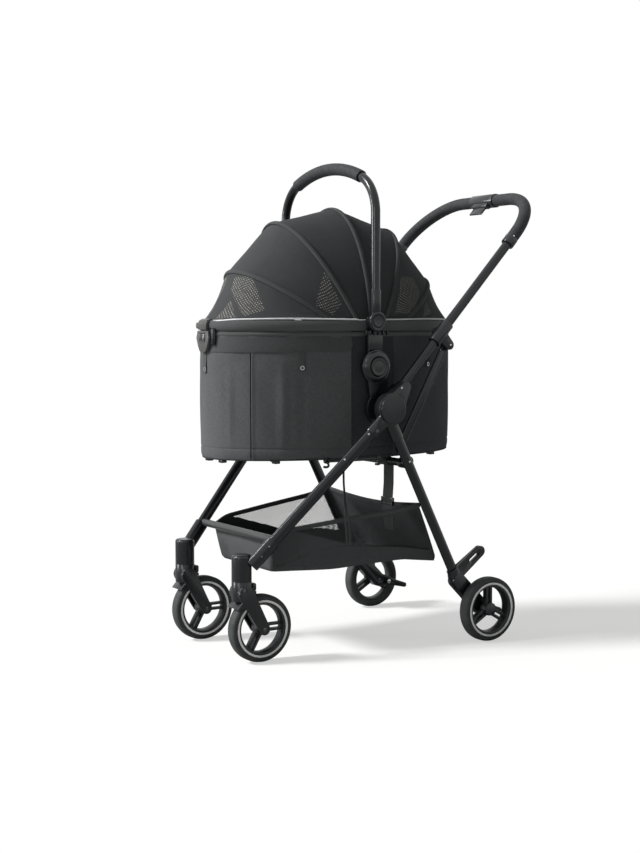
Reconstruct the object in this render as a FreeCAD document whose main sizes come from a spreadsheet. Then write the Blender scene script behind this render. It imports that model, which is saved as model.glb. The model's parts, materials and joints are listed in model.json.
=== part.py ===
import FreeCAD, Part
import math
import os
import re
import sys
from types import SimpleNamespace

from FreeCAD import Placement, Rotation, Vector

# Pet stroller with a lift-off pet carrier, in millimetres.
# X is across the stroller, +X to its left; -Y is the front; +Z is up.
# The origin is on the floor, under the middle of the whole stroller.

SIZES = {
    # wheels
    "wheel_radius": 75.0,
    "tyre_width": 30.0,
    "tyre_wall": 18.0,
    "tyre_round": 11.0,
    "rim_ring": 4.0,
    "rim_width": 26.0,
    "wheel_hub_radius": 16.0,
    "wheel_hub_width": 29.0,
    "spoke_width": 15.0,
    "spoke_thick": 9.0,
    "front_spoke_turn": 30.0,
    "rear_spoke_turn": 0.0,
    "axle_radius": 4.0,
    "running_gap": 0.05,
    "seat_gap": 0.3,
    "snug_gap": 0.02,
    # casters
    "caster_x": 134.5,
    "front_axle_y": -337.0,
    "caster_trail": 45.0,
    "fork_bottom": 141.0,
    "fork_top": 182.7,
    "fork_radius": 22.0,
    "fork_blade": 6.0,
    "fork_side_gap": 2.5,
    "fork_eye": 13.0,
    "hood_gap": 4.0,
    "hood_thick": 5.0,
    "hood_low": 125.0,
    "hood_overlap": 16.0,
    "pin_depth": 22.0,
    "shelf_height": 12.0,
    "shelf_thick": 6.0,
    "shelf_root": 4.0,
    "swivel_pin_radius": 6.0,
    "swivel_pin_top": 215.0,
    "socket_top": 241.0,
    "lock_width": 20.0,
    "lock_height": 18.0,
    "lock_thick": 9.0,
    # front legs and their sockets
    "leg_foot_x": 165.0,
    "leg_foot_y": -326.0,
    "leg_foot_z": 262.0,
    "leg_top_x": 243.0,
    "leg_top_gap": 52.0,
    "front_leg_width": 18.0,
    "front_leg_depth": 26.0,
    "tube_wall": 1.5,
    "sleeve_wall": 3.5,
    "leg_seat": 38.0,
    "sleeve_low": 62.0,
    "sleeve_high": 8.0,
    "socket_round": 6.0,
    "crossbar_rise": 13.0,
    "crossbar_radius": 8.5,
    # hub
    "hub_y": -57.0,
    "hub_z": 551.0,
    "hub_radius": 36.0,
    "hub_inner_x": 221.2,
    "hub_outer_x": 242.0,
    "cover_radius": 33.0,
    "cover_thick": 4.0,
    "cover_round": 2.0,
    "hub_sleeve_length": 74.0,
    "hub_sleeve_wall": 3.0,
    "guide_sleeve_length": 40.0,
    "arm_reach": 32.0,
    "hub_pin_radius": 6.0,
    # handle
    "handle_x": 218.0,
    "handle_angle": 46.92,
    "handle_offset": 5.6,
    "guide_radius": 9.0,
    "guide_low": 27.0,
    "guide_length": 330.0,
    "handle_radius": 10.5,
    "handle_low": 196.0,
    "handle_reach": 668.0,
    "handle_bend": 130.0,
    "grip_radius": 14.5,
    "grip_run": 33.0,
    "collar_length": 22.0,
    "collar_radius": 15.5,
    "unit_length": 84.0,
    "unit_radius": 17.0,
    "lever_width": 46.0,
    "lever_reach": 44.0,
    "lever_start": 22.0,
    "lever_thick": 5.0,
    "lever_travel": 5.5,
    "chin_wall": 4.0,
    "bracket_length": 56.0,
    "bracket_wall": 4.0,
    "lug_thick": 14.0,
    "lug_wall": 1.0,
    "lug_along": 222.5,
    "lug_offset": 32.9,
    # link bars
    "link_x": 198.6,
    "link_thick": 4.5,
    "link_radius": 10.0,
    "link_pin_radius": 4.0,
    "link_leg_distance": 104.0,
    "link_gap": 0.4,
    "link_head_height": 1.4,
    "link_head_wall": 2.0,
    # rear frame
    "rear_leg_x": 212.0,
    "rear_leg_angle": 63.3,
    "rear_leg_width": 17.0,
    "rear_leg_depth": 25.0,
    "rear_leg_low": 455.0,
    "rear_head_radius": 19.0,
    "rear_head_length": 78.0,
    "rear_head_start": 6.0,
    "rear_leg_start": 30.0,
    "rear_leg_recess": 1.5,
    "head_wall": 2.5,
    "rear_axle_y": 217.0,
    "rear_wheel_x": 240.5,
    "rear_bar_radius": 9.0,
    "rear_bar_distance": 141.0,
    "clamp_length": 19.0,
    "clamp_seat": 8.0,
    "clamp_wall": 3.0,
    "foot_sleeve_wall": 2.8,
    "bracket_start": 424.0,
    "bracket_end": 470.0,
    "housing_radius": 17.0,
    "housing_inner_x": 200.0,
    "housing_outer_x": 224.5,
    "loop_thick": 12.0,
    "loop_drop": 17.0,
    "loop_reach": 88.0,
    "loop_angle": 35.0,
    "loop_root_radius": 16.0,
    "loop_tip_radius": 12.5,
    "loop_slot": 24.0,
    "loop_slot_radius": 5.0,
    "loop_slot_end": 10.5,
    "brake_pivot_y": 243.0,
    "brake_pivot_z": 70.0,
    "brake_reach": 46.0,
    "brake_width": 13.0,
    "brake_fall": 16.3,
    "brake_hub_radius": 9.0,
    "brake_tip_radius": 6.0,
    "brake_boss_radius": 12.0,
    # carrier
    "carrier_y": -71.0,
    "carrier_half_length": 322.0,
    "carrier_half_width": 177.0,
    "carrier_floor_z": 440.0,
    "carrier_rim_z": 726.0,
    "carrier_wall": 3.0,
    "rim_height": 22.0,
    "rim_out": 3.0,
    "rim_in": 8.0,
    "board_thick": 4.0,
    "foot_x": 95.0,
    "foot_y": 205.0,
    "foot_radius": 9.0,
    "foot_height": 6.0,
    "plate_thick": 5.2,
    "plate_width": 34.0,
    "yoke_wall": 2.0,
    "tongue_gap": 2.5,
    "pad_drop": 12.0,
    "plate_low": 604.0,
    "receiver_z": 644.0,
    "receiver_radius": 35.5,
    "receiver_inner_x": 186.0,
    "receiver_outer_x": 198.0,
    "mast_thick": 11.5,
    "tongue_thick": 4.0,
    "tongue_width": 29.0,
    "tongue_low": 628.0,
    "release_radius": 25.0,
    "release_thick": 4.0,
    "release_travel": 2.5,
    "button_rise": 3.2,
    "yoke_top": 716.0,
    "yoke_outer_x": 194.5,
    "clasp_width": 34.0,
    "clasp_height": 62.0,
    "clasp_thick": 9.0,
    "clasp_root": 6.0,
    "clasp_rise": 3.0,
    "clasp_button_thick": 4.0,
    "clasp_travel": 2.2,
    # canopy
    "canopy_z": 677.0,
    "canopy_radius": 328.0,
    "canopy_half_width": 179.0,
    "canopy_skin": 1.5,
    "canopy_step": 1.9,
    "canopy_hub_radius": 80.0,
    "deck_gap": 0.5,
    "bow_width": 4.0,
    "bow_height": 2.0,
    "mid_angle": 117.1,
    "front_bow_angle": 145.0,
    "front_angle": 175.0,
    "rear_angle": 5.0,
    "rear_bow_angle": 33.8,
    "high_bow_angle": 61.9,
    # carry arch
    "arch_z": 744.0,
    "arch_x": 192.0,
    "arch_radius": 10.5,
    "arch_ring_radius": 19.0,
    "arch_ring_outer_x": 197.0,
    "arch_sleeve_radius": 12.6,
    "arch_sleeve_length": 63.0,
    "arch_tube_depth": 39.0,
    "arch_rise": 110.0,
    "arch_shoulder_radius": 90.0,
    "arch_top_z": 1095.0,
    "arch_grip_radius": 14.0,
    "arch_button_radius": 12.0,
    "arch_button_thick": 4.5,
    "arch_pin_radius": 7.0,
    "arch_button_rise": 2.0,
    "sleeve_lift": 8.0,
    "ring_clear": 40.0,
    # lower basket
    "basket_front_z": 268.0,
    "basket_front_half": 150.0,
    "basket_rear_y": 31.0,
    "basket_rear_z": 338.0,
    "basket_rear_half": 194.0,
    "basket_floor_z": 194.0,
    "basket_floor_inset": 20.0,
    "basket_floor_rear_y": 128.0,
    "basket_skin": 2.5,
    # rivets
    "rivet_radius": 4.0,
    "rivet_height": 1.4,
    "rivet_lift": 12.0,
    "rivet_sink": 0.4,
}

doc = FreeCAD.newDocument("PetStroller")
sheet = doc.addObject("Spreadsheet::Sheet", "Sizes")
for row, (alias, number) in enumerate(SIZES.items(), 1):
    sheet.set(f"A{row}", alias)
    sheet.set(f"B{row}", str(number))
    sheet.setAlias(f"B{row}", alias)
doc.recompute()
size = SimpleNamespace(**{alias: float(sheet.get(alias)) for alias in SIZES})

AXIS_X = Vector(1, 0, 0)
AXIS_Y = Vector(0, 1, 0)
AXIS_Z = Vector(0, 0, 1)
nodes = {}


# Modelling helpers


def on_sheet(expression):
    """The expression with each alias turned into a reference to the sheet."""
    return re.sub(r"[a-z][a-z_]+", lambda word: f"Sizes.{word.group()}", expression)


def bind(thing, **expressions):
    """Tie properties of a document object to expressions of the sheet's cells."""
    for name, expression in expressions.items():
        thing.setExpression(name, on_sheet(expression))
    return thing


def turned(base, direction, start=AXIS_Z):
    return Placement(base, Rotation(start, direction))


def rod(name, radius, length, base, direction=AXIS_Z):
    """A round bar; its radius and length are sheet expressions."""
    thing = bind(doc.addObject("Part::Cylinder", name), Radius=radius, Height=length)
    thing.Placement = turned(base, direction)
    return thing


def block(name, x, y, z, corner):
    """A box; its three lengths are sheet expressions."""
    thing = bind(doc.addObject("Part::Box", name), Length=x, Width=y, Height=z)
    thing.Placement = Placement(corner, Rotation())
    return thing


def join(name, *things):
    thing = doc.addObject("Part::MultiFuse", name)
    thing.Shapes = list(things)
    return thing


def without(name, base, *tools):
    """The base with the tools' shapes taken out of it."""
    thing = doc.addObject("Part::Cut", name)
    thing.Base = base
    thing.Tool = tools[0] if len(tools) == 1 else join(name + "_tools", *tools)
    return thing


def shaped(name, shape):
    thing = doc.addObject("Part::Feature", name)
    thing.Shape = shape
    thing.Placement = Placement()
    return thing


def mirrored(name, source):
    thing = doc.addObject("Part::Mirroring", name)
    thing.Source = source
    thing.Base = Vector()
    thing.Normal = AXIS_X
    return thing


def group(name, *things):
    """Separate solids of one kind, kept together as one node."""
    thing = doc.addObject("Part::Compound", name)
    thing.Links = list(things)
    return thing


def node(name, thing):
    thing.Label = name
    nodes[name] = thing
    return thing


def pair(name, left):
    """A left piece and its mirror image on the right, each a node of its own."""
    node(f"{name}_left", left)
    return node(f"{name}_right", mirrored(f"{name}_right", left))


def both(name, left):
    """A left piece and its mirror image as one node of two solids."""
    return node(name, group(name, left, mirrored(name + "_other", left)))


def strap_face(first, second, first_radius, second_radius):
    """The flat outline of two circles, given as (y, z) centres, and their outer tangents."""
    one = Vector(0, *first)
    two = Vector(0, *second)
    along = two - one
    span = along.Length
    along.normalize()
    across = AXIS_X.cross(along)
    lean = (first_radius - second_radius) / span
    rise = math.sqrt(1 - lean * lean)
    up = along * lean + across * rise
    down = along * lean - across * rise
    a, b = one + up * first_radius, two + up * second_radius
    c, d = two + down * second_radius, one + down * first_radius
    edges = [
        Part.makeLine(a, b),
        Part.Arc(b, two + along * second_radius, c).toShape(),
        Part.makeLine(c, d),
        Part.Arc(d, one - along * first_radius, a).toShape(),
    ]
    return Part.Face(Part.Wire(edges))


def strap(name, low_x, thick, first, second, first_radius, second_radius):
    """A flat bar with round ends, lying across X; its thickness is a sheet expression."""
    outline = shaped(name + "_outline", strap_face(first, second, first_radius, second_radius))
    outline.Placement = Placement(Vector(low_x, 0, 0), Rotation())
    thing = doc.addObject("Part::Extrusion", name)
    thing.Base = outline
    thing.DirMode = "Custom"
    thing.Dir = AXIS_X
    thing.Solid = True
    return bind(thing, LengthFwd=thick)


def ellipse_bar(name, major, minor, base, along, across, length):
    """A solid bar of oval section; the section's half sizes are sheet expressions."""
    outline = bind(doc.addObject("Part::Ellipse", name + "_outline"), MajorRadius=major, MinorRadius=minor)
    outline.Placement = Placement(base, Rotation(across, along.cross(across), along, "ZXY"))
    thing = doc.addObject("Part::Extrusion", name)
    thing.Base = outline
    thing.DirMode = "Custom"
    thing.Dir = along
    thing.LengthFwd = length
    thing.Solid = True
    return thing


def oval_bar(name, start, end, width, depth, grow="0"):
    """A straight oval bar, deep in the plane of Y and Z and narrow across it."""
    along = (end - start).normalize()
    deep = along.cross(AXIS_X).normalize()
    major = f"({depth}) / 2 + {grow}"
    minor = f"({width}) / 2 + {grow}"
    return ellipse_bar(name, major, minor, start, along, deep, (end - start).Length)


def oval_tube(name, start, end, width, depth):
    outer = oval_bar(name + "_outer", start, end, width, depth)
    bore = oval_bar(name + "_bore", start, end, width, depth, "0 - tube_wall")
    return without(name, outer, bore)


def bent_bar(name, edges, radius):
    """A round bar swept along joined lines and arcs."""
    path = Part.Wire(edges)
    start = path.OrderedEdges[0]
    ring = Part.makeCircle(radius, start.valueAt(start.FirstParameter), start.tangentAt(start.FirstParameter))
    return shaped(name, path.makePipeShell([Part.Wire(ring)], True, False))


def round_edges(name, base, radius, chosen):
    """A fillet on the edges of a finished base for which chosen(edge) is true."""
    doc.recompute()
    thing = doc.addObject("Part::Fillet", name)
    thing.Base = base
    thing.Edges = [(n, radius, radius) for n, edge in enumerate(base.Shape.Edges, 1) if chosen(edge)]
    return thing


def is_circle(edge, radius):
    return isinstance(edge.Curve, Part.Circle) and abs(edge.Curve.Radius - radius) < 1e-6


# Directions and places that several pieces share

hub = Vector(0, size.hub_y, size.hub_z)
lift = math.radians(size.handle_angle)
handle_along = Vector(0, math.cos(lift), math.sin(lift))
handle_across = Vector(0, math.sin(lift), -math.cos(lift))
drop = math.radians(size.rear_leg_angle)
rear_along = Vector(0, math.cos(drop), -math.sin(drop))
front_axle = Vector(size.caster_x, size.front_axle_y, size.wheel_radius)
stem_y = size.front_axle_y - size.caster_trail
rear_axle = Vector(size.rear_wheel_x, size.rear_axle_y, size.wheel_radius)
leg_foot = Vector(size.leg_foot_x, size.leg_foot_y, size.leg_foot_z)
leg_top = Vector(size.leg_top_x, size.hub_y, size.hub_z)
leg_along = (leg_top - leg_foot).normalize()
rim_top = size.carrier_rim_z + size.rim_height
carrier_middle = Vector(0, size.carrier_y, 0)


def at_x(x, point):
    return Vector(x, point.y, point.z)


def yz(point):
    return (point.y, point.z)


def on_handle(x, along, across=0.0):
    """A point beside the handle's straight line, measured from the hub."""
    return at_x(x, hub + handle_along * along + handle_across * (across - size.handle_offset))


def on_rear_leg(x, along, across=0.0):
    return at_x(x, hub + rear_along * along + AXIS_X.cross(rear_along) * across)


# Wheels


def wheel(name, middle, first_spoke):
    """A rubber tyre on a rim with three split spokes and a bored hub, turning about X."""
    half = AXIS_X * (size.tyre_width / 2)
    outer = rod(name + "_tyre_outer", "wheel_radius", "tyre_width", middle - half, AXIS_X)
    seat = rod(name + "_tyre_seat", "wheel_radius - tyre_wall", "tyre_width", middle - half, AXIS_X)
    band = without(name + "_tyre_band", outer, seat)
    tyre = round_edges(name + "_tyre", band, size.tyre_round, lambda edge: is_circle(edge, size.wheel_radius))

    half = AXIS_X * (size.rim_width / 2)
    ring_outer = rod(name + "_ring_outer", "wheel_radius - tyre_wall", "rim_width", middle - half, AXIS_X)
    ring_room = "wheel_radius - tyre_wall - rim_ring"
    ring_inner = rod(name + "_ring_inner", ring_room, "rim_width", middle - half, AXIS_X)
    ring = without(name + "_ring", ring_outer, ring_inner)
    half = AXIS_X * (size.wheel_hub_width / 2)
    centre = rod(name + "_centre", "wheel_hub_radius", "wheel_hub_width", middle - half, AXIS_X)
    bore = rod(name + "_bore", "axle_radius + running_gap", "wheel_hub_width", middle - half, AXIS_X)
    spokes = []
    for turn in (0, 120, 240):
        spoke = block(
            f"{name}_spoke_{turn}",
            "spoke_thick",
            "spoke_width",
            "wheel_radius - tyre_wall - rim_ring / 2",
            Vector(),
        )
        to_middle = Placement(Vector(-size.spoke_thick / 2, -size.spoke_width / 2, 0), Rotation())
        spoke.Placement = Placement(middle, Rotation(AXIS_X, turn + first_spoke)) * to_middle
        spokes.append(spoke)
    rim = without(name + "_rim", join(name + "_wheel", ring, centre, *spokes), bore)
    return tyre, rim


for where, middle, first_spoke in (
    ("front", front_axle, size.front_spoke_turn),
    ("rear", rear_axle, size.rear_spoke_turn),
):
    tyre, rim = wheel(where, middle, first_spoke)
    pair(f"{where}_tyre", tyre)
    pair(f"{where}_rim", rim)


# Casters: a fork with a hood over the wheel, and the socket that its pin turns in

blade_inner = size.tyre_width / 2 + size.fork_side_gap
blade_outer = blade_inner + size.fork_blade
fork_span = "tyre_width + 2 * fork_side_gap + 2 * fork_blade"
stem = Vector(size.caster_x, stem_y, 0)
fork_side = front_axle - AXIS_X * blade_outer
fork_stem = rod("fork_stem", "fork_radius", "fork_top - fork_bottom", stem + AXIS_Z * size.fork_bottom)
fork_blades = strap(
    "fork_blades",
    fork_side.x,
    fork_span,
    (stem_y, size.fork_bottom + size.hood_overlap),
    yz(front_axle),
    size.fork_radius - size.hood_gap,
    size.fork_eye,
)
hood_round = rod("hood_round", "wheel_radius + hood_gap + hood_thick", fork_span, fork_side, AXIS_X)
hood_reach = size.wheel_radius + size.hood_gap + size.hood_thick
hood_slice = block(
    "hood_slice",
    fork_span,
    "hood_overlap - caster_trail + wheel_radius + hood_gap + hood_thick",
    "wheel_radius + hood_gap + hood_thick",
    Vector(fork_side.x, front_axle.y - hood_reach, size.hood_low),
)
hood = doc.addObject("Part::Common", "hood")
hood.Base = hood_round
hood.Tool = hood_slice
wheel_room = rod(
    "wheel_room",
    "wheel_radius + hood_gap",
    "tyre_width + 2 * fork_side_gap",
    front_axle - AXIS_X * blade_inner,
    AXIS_X,
)
axle_room = rod("fork_axle_room", "axle_radius", fork_span, fork_side, AXIS_X)
pin_floor = stem + AXIS_Z * (size.fork_top - size.pin_depth)
pin_room = rod("fork_pin_room", "swivel_pin_radius", "pin_depth", pin_floor)
lock_corner = Vector(size.caster_x - size.lock_width / 2, stem_y + size.fork_radius + size.seat_gap, 0)
shelf_low = size.fork_bottom + size.shelf_height
lock_shelf = block(
    "lock_shelf",
    "lock_width",
    "lock_thick + shelf_root",
    "shelf_thick",
    lock_corner + Vector(0, -size.shelf_root, shelf_low),
)
fork_body = join("fork_body", fork_stem, fork_blades, hood, lock_shelf)
fork = without("fork", fork_body, wheel_room, axle_room, pin_room)
pair("caster_fork", fork)

axle = rod("caster_axle", "axle_radius", fork_span, fork_side, AXIS_X)
swivel_pin = rod("swivel_pin", "swivel_pin_radius", "swivel_pin_top - fork_top + pin_depth", pin_floor)
pair("caster_pins", group("caster_pins", axle, swivel_pin))

lock_corner.z = shelf_low + size.shelf_thick + size.seat_gap
lock_round = size.lock_thick / 2
lock_pivot = (lock_corner.y + lock_round, lock_corner.z + lock_round)
lock_tip = (lock_pivot[0], lock_corner.z + size.lock_height - lock_round)
lock_lever = strap("lock_lever", lock_corner.x, "lock_width", lock_pivot, lock_tip, lock_round, lock_round)
notch_corner = lock_corner + Vector(size.lock_width / 3, 0, size.lock_height / 2)
lock_notch = block("lock_notch", "lock_width / 3", "lock_thick", "lock_height / 2", notch_corner)
pair("swivel_lock", without("swivel_lock", lock_lever, lock_notch))


# Front legs, the caster sockets at their feet and the bar between them

leg_low = leg_foot - leg_along * size.leg_seat
leg_high = leg_top - leg_along * size.leg_top_gap
both("front_legs", oval_tube("front_leg", leg_low, leg_high, "front_leg_width", "front_leg_depth"))
leg_room = oval_bar("leg_room", leg_low, leg_high, "front_leg_width", "front_leg_depth", "snug_gap")

socket_foot = stem + AXIS_Z * (size.fork_top + size.seat_gap)
socket_post = rod("socket_post", "fork_radius", "socket_top - fork_top - seat_gap", socket_foot)
sleeve_low = leg_foot - leg_along * size.sleeve_low
sleeve_high = leg_foot + leg_along * size.sleeve_high
socket_sleeve = oval_bar(
    "socket_sleeve", sleeve_low, sleeve_high, "front_leg_width", "front_leg_depth", "sleeve_wall"
)
pin_length = "swivel_pin_top - fork_top + seat_gap"
pin_hole = rod("pin_hole", "swivel_pin_radius + running_gap", pin_length, socket_foot)
socket_cap = round_edges(
    "socket_cap",
    socket_post,
    size.socket_round,
    lambda edge: is_circle(edge, size.fork_radius) and edge.CenterOfMass.z > size.socket_top - 1,
)
socket_body = join("socket_body", socket_cap, socket_sleeve)
both("caster_sockets", without("caster_socket", socket_body, leg_room, pin_hole))

bar_start = leg_foot + Vector(0, leg_along.y, leg_along.z) * size.crossbar_rise
crossbar = rod("crossbar_outer", "crossbar_radius", "2 * leg_foot_x", bar_start, -AXIS_X)
crossbar_bore = rod("crossbar_bore", "crossbar_radius - tube_wall", "2 * leg_foot_x", bar_start, -AXIS_X)
sleeve_room = oval_bar(
    "sleeve_room", sleeve_low, sleeve_high, "front_leg_width", "front_leg_depth", "sleeve_wall + snug_gap"
)
ends = join("crossbar_ends", leg_room, sleeve_room)
other_ends = mirrored("crossbar_ends_other", ends)
node("front_crossbar", without("front_crossbar", crossbar, crossbar_bore, ends, other_ends))


# Hubs: a fixed housing that holds the front leg and the guide tube, over the rear leg's head

hub_depth = "hub_outer_x - hub_inner_x"
arm_depth = "hub_inner_x - receiver_inner_x - mast_thick"
arm_x = size.receiver_inner_x + size.mast_thick
guide_base = on_handle(size.handle_x, size.guide_low)
hub_inner = at_x(size.hub_inner_x, hub)
hub_disc = rod("hub_disc", "hub_radius", hub_depth, hub_inner, AXIS_X)
sleeve_end = leg_top - leg_along * size.hub_sleeve_length
leg_sleeve = oval_bar(
    "hub_leg_sleeve", sleeve_end, leg_top, "front_leg_width", "front_leg_depth", "hub_sleeve_wall"
)
guide_sleeve = rod(
    "hub_guide_sleeve",
    "guide_radius + bracket_wall",
    "guide_sleeve_length",
    guide_base,
    handle_along,
)
arm_end = on_handle(0, size.guide_low + size.arm_reach)
arm = strap(
    "hub_arm",
    size.hub_inner_x,
    hub_depth,
    yz(hub),
    yz(arm_end),
    size.cover_radius - size.bracket_wall,
    size.guide_radius + size.bracket_wall,
)
inner_arm = strap(
    "hub_inner_arm",
    arm_x,
    arm_depth,
    yz(on_handle(0, size.guide_low + size.bracket_wall)),
    yz(on_handle(0, size.guide_low + size.arm_reach - size.bracket_wall)),
    size.guide_radius + size.tube_wall,
    size.guide_radius + size.tube_wall,
)
guide_room = rod("guide_room", "guide_radius + snug_gap", "guide_length", guide_base, handle_along)
head_room = rod("head_room", "rear_head_radius + seat_gap", arm_depth, at_x(arm_x, hub), AXIS_X)
hub_pin_room = rod("hub_pin_room", "hub_pin_radius", hub_depth, hub_inner, AXIS_X)
room_corner = Vector(0, -2 * size.hub_sleeve_length, -2 * size.hub_sleeve_length)
inner_side = block(
    "sleeve_inner_side",
    arm_depth,
    "3 * hub_sleeve_length",
    "3 * hub_sleeve_length",
    at_x(arm_x, hub + room_corner),
)
outer_side = block(
    "sleeve_outer_side",
    "hub_sleeve_length",
    "3 * hub_sleeve_length",
    "3 * hub_sleeve_length",
    at_x(size.hub_outer_x, hub + room_corner),
)
hub_body = join(
    "hub_body",
    hub_disc,
    without("hub_leg_sleeve_trimmed", leg_sleeve, inner_side, outer_side),
    arm,
    guide_sleeve,
    inner_arm,
)
outward = (AXIS_X - leg_along * leg_along.x).normalize()
rivet_seat = size.front_leg_width / 2 + size.hub_sleeve_wall - size.rivet_sink
rivet_base = sleeve_end + leg_along * size.rivet_lift + outward * rivet_seat
rivet_room = rod("rivet_room", "rivet_radius + snug_gap", "rivet_height", rivet_base, outward)
hub_cuts = (guide_room, leg_room, head_room, hub_pin_room, rivet_room)
both("hubs", without("hub_housing", hub_body, *hub_cuts))
cover = rod("hub_cover", "cover_radius", "cover_thick", at_x(size.hub_outer_x, hub), AXIS_X)
soft_cover = round_edges(
    "soft_cover",
    cover,
    size.cover_round,
    lambda edge: is_circle(edge, size.cover_radius) and edge.CenterOfMass.x > size.hub_outer_x + 1,
)
both("hub_covers", without("hub_cover_cut", soft_cover, leg_room))

guide = rod("guide_outer", "guide_radius", "guide_length", guide_base, handle_along)
guide_bore = rod("guide_bore", "guide_radius - tube_wall", "guide_length", guide_base, handle_along)
both("guide_tubes", without("guide_tube", guide, guide_bore))


# Receivers: the mast on each hub that takes the carrier's tongue, with a push button

receiver = Vector(0, size.carrier_y, size.receiver_z)
receiver_depth = "receiver_outer_x - receiver_inner_x"
receiver_hub = at_x(size.receiver_inner_x, hub)
base_ring = rod("receiver_base", "hub_radius + tongue_gap", "mast_thick", receiver_hub, AXIS_X)
mast = strap(
    "receiver_mast",
    size.receiver_inner_x,
    "mast_thick",
    yz(hub),
    yz(receiver),
    size.release_radius,
    size.release_radius + size.tongue_gap,
)
bowl = rod("receiver_bowl", "receiver_radius", receiver_depth, at_x(size.receiver_inner_x, receiver), AXIS_X)
tongue_x = size.receiver_inner_x + size.tongue_gap + size.seat_gap
tongue_slot = block(
    "tongue_slot",
    "tongue_thick + 2 * seat_gap",
    "tongue_width + 2 * seat_gap",
    "2 * receiver_radius",
    Vector(
        tongue_x - size.seat_gap,
        size.carrier_y - size.tongue_width / 2 - size.seat_gap,
        size.tongue_low - size.seat_gap,
    ),
)
button_inner = size.receiver_outer_x + size.button_rise - size.release_thick
button_bore = rod(
    "release_bore",
    "release_radius + running_gap",
    "release_thick",
    at_x(button_inner - size.release_travel, receiver),
    AXIS_X,
)
hub_pin_seat = rod("hub_pin_seat", "hub_pin_radius", "mast_thick", at_x(size.receiver_inner_x, hub), AXIS_X)
receiver_body = join("receiver_body", base_ring, mast, bowl)
both("carrier_receivers", without("carrier_receiver", receiver_body, tongue_slot, button_bore, hub_pin_seat))
release = rod("release_button", "release_radius", "release_thick", at_x(button_inner, receiver), AXIS_X)
pair("release_button", release)
hub_pin = rod(
    "hub_pin",
    "hub_pin_radius",
    "hub_outer_x - receiver_inner_x",
    at_x(size.receiver_inner_x, hub),
    AXIS_X,
)
both("hub_pins", hub_pin)


# Handle: one bent tube that slides on the guide tubes, with its grip and release unit

bend_start = size.handle_reach - size.handle_bend


def handle_path(low, high=None):
    """The handle's centre line from the given distance up the left side, to the right or to high."""
    left = size.handle_x
    corner = bend_start
    edges = []
    if low < corner:
        edges.append(Part.makeLine(on_handle(left, low), on_handle(left, corner)))
    turn = size.handle_bend
    diagonal = turn * math.sqrt(0.5)
    edges.append(
        Part.Arc(
            on_handle(left, corner),
            on_handle(left - turn + diagonal, corner + diagonal),
            on_handle(left - turn, corner + turn),
        ).toShape()
    )
    top = size.handle_reach
    if high is not None:
        edges.append(Part.makeLine(on_handle(left - turn, top), on_handle(high, top)))
        return edges
    edges.append(Part.makeLine(on_handle(left - turn, top), on_handle(turn - left, top)))
    edges.append(
        Part.Arc(
            on_handle(turn - left, top),
            on_handle(turn - left - diagonal, corner + diagonal),
            on_handle(-left, corner),
        ).toShape()
    )
    edges.append(Part.makeLine(on_handle(-left, corner), on_handle(-left, low)))
    return edges


handle_solid = bent_bar("handle_solid", handle_path(size.handle_low), size.handle_radius)
handle_room = bent_bar("handle_room", handle_path(size.handle_low), size.guide_radius + size.link_gap)
node("handle_tube", without("handle_tube", handle_solid, handle_room))
grip_low = bend_start - size.grip_run
grip_start = grip_low + size.collar_length
unit_half = size.unit_length / 2
grip_solid = bent_bar("grip_solid", handle_path(grip_start, unit_half), size.grip_radius)
bar_in_grip = bent_bar("bar_in_grip", handle_path(grip_start, unit_half), size.handle_radius)
both("handle_grip", without("handle_grip_half", grip_solid, bar_in_grip))
collar_base = on_handle(size.handle_x, grip_low)
collar = rod("grip_collar", "collar_radius", "collar_length", collar_base, handle_along)
collar_bore = rod("collar_bore", "handle_radius", "collar_length", collar_base, handle_along)
both("grip_collars", without("grip_collar_cut", collar, collar_bore))

unit_centre = on_handle(0, size.handle_reach)
unit = rod("unit", "unit_radius", "unit_length", unit_centre - AXIS_X * unit_half, AXIS_X)
unit_bore = rod("unit_bore", "handle_radius", "unit_length", unit_centre - AXIS_X * unit_half, AXIS_X)
chin = strap(
    "unit_chin",
    -size.lever_width / 2 - size.chin_wall,
    "lever_width + 2 * chin_wall",
    yz(unit_centre),
    yz(unit_centre - handle_along * size.unit_radius),
    9.0,
    8.0,
)
lever_top = unit_centre - handle_along * size.lever_start
lever_slot = strap(
    "lever_slot",
    -size.lever_width / 2 - size.seat_gap,
    "lever_width + 2 * seat_gap",
    yz(lever_top + handle_along * size.lever_travel),
    yz(unit_centre - handle_along * size.lever_reach),
    size.lever_thick / 2 + size.seat_gap,
    size.lever_thick / 2 + size.seat_gap,
)
node("release_unit", without("release_unit", join("unit_body", unit, chin), unit_bore, lever_slot))
lever = strap(
    "release_lever",
    -size.lever_width / 2,
    "lever_width",
    yz(lever_top),
    yz(unit_centre - handle_along * size.lever_reach),
    size.lever_thick / 2,
    size.lever_thick / 2,
)
node("release_lever", lever)

lug = on_handle(0, size.lug_along, size.lug_offset + size.handle_offset)
bracket_base = on_handle(size.handle_x, size.handle_low)
sleeve = rod("bracket_sleeve", "handle_radius + bracket_wall", "bracket_length", bracket_base, handle_along)
bracket_strap = strap(
    "bracket_lug",
    size.link_x + size.link_thick + size.link_gap,
    "lug_thick",
    yz(bracket_base + handle_along * (size.bracket_length / 2)),
    yz(lug),
    size.handle_radius + size.bracket_wall,
    size.link_radius + size.lug_wall,
)
bracket_bore = rod(
    "bracket_bore", "handle_radius", "bracket_length + lug_thick", bracket_base, handle_along
)
guide_path = rod(
    "guide_path",
    "guide_radius + link_gap",
    "2 * bracket_length",
    bracket_base - handle_along * size.bracket_length,
    handle_along,
)
pin_start = at_x(size.link_x - size.link_head_height, lug)
link_pin = rod("link_pin", "link_pin_radius", "link_thick + lug_thick / 2", pin_start, AXIS_X)
bracket_block = join("bracket_block", sleeve, bracket_strap)
bracket = without("handle_bracket_body", bracket_block, bracket_bore, guide_path)
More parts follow.
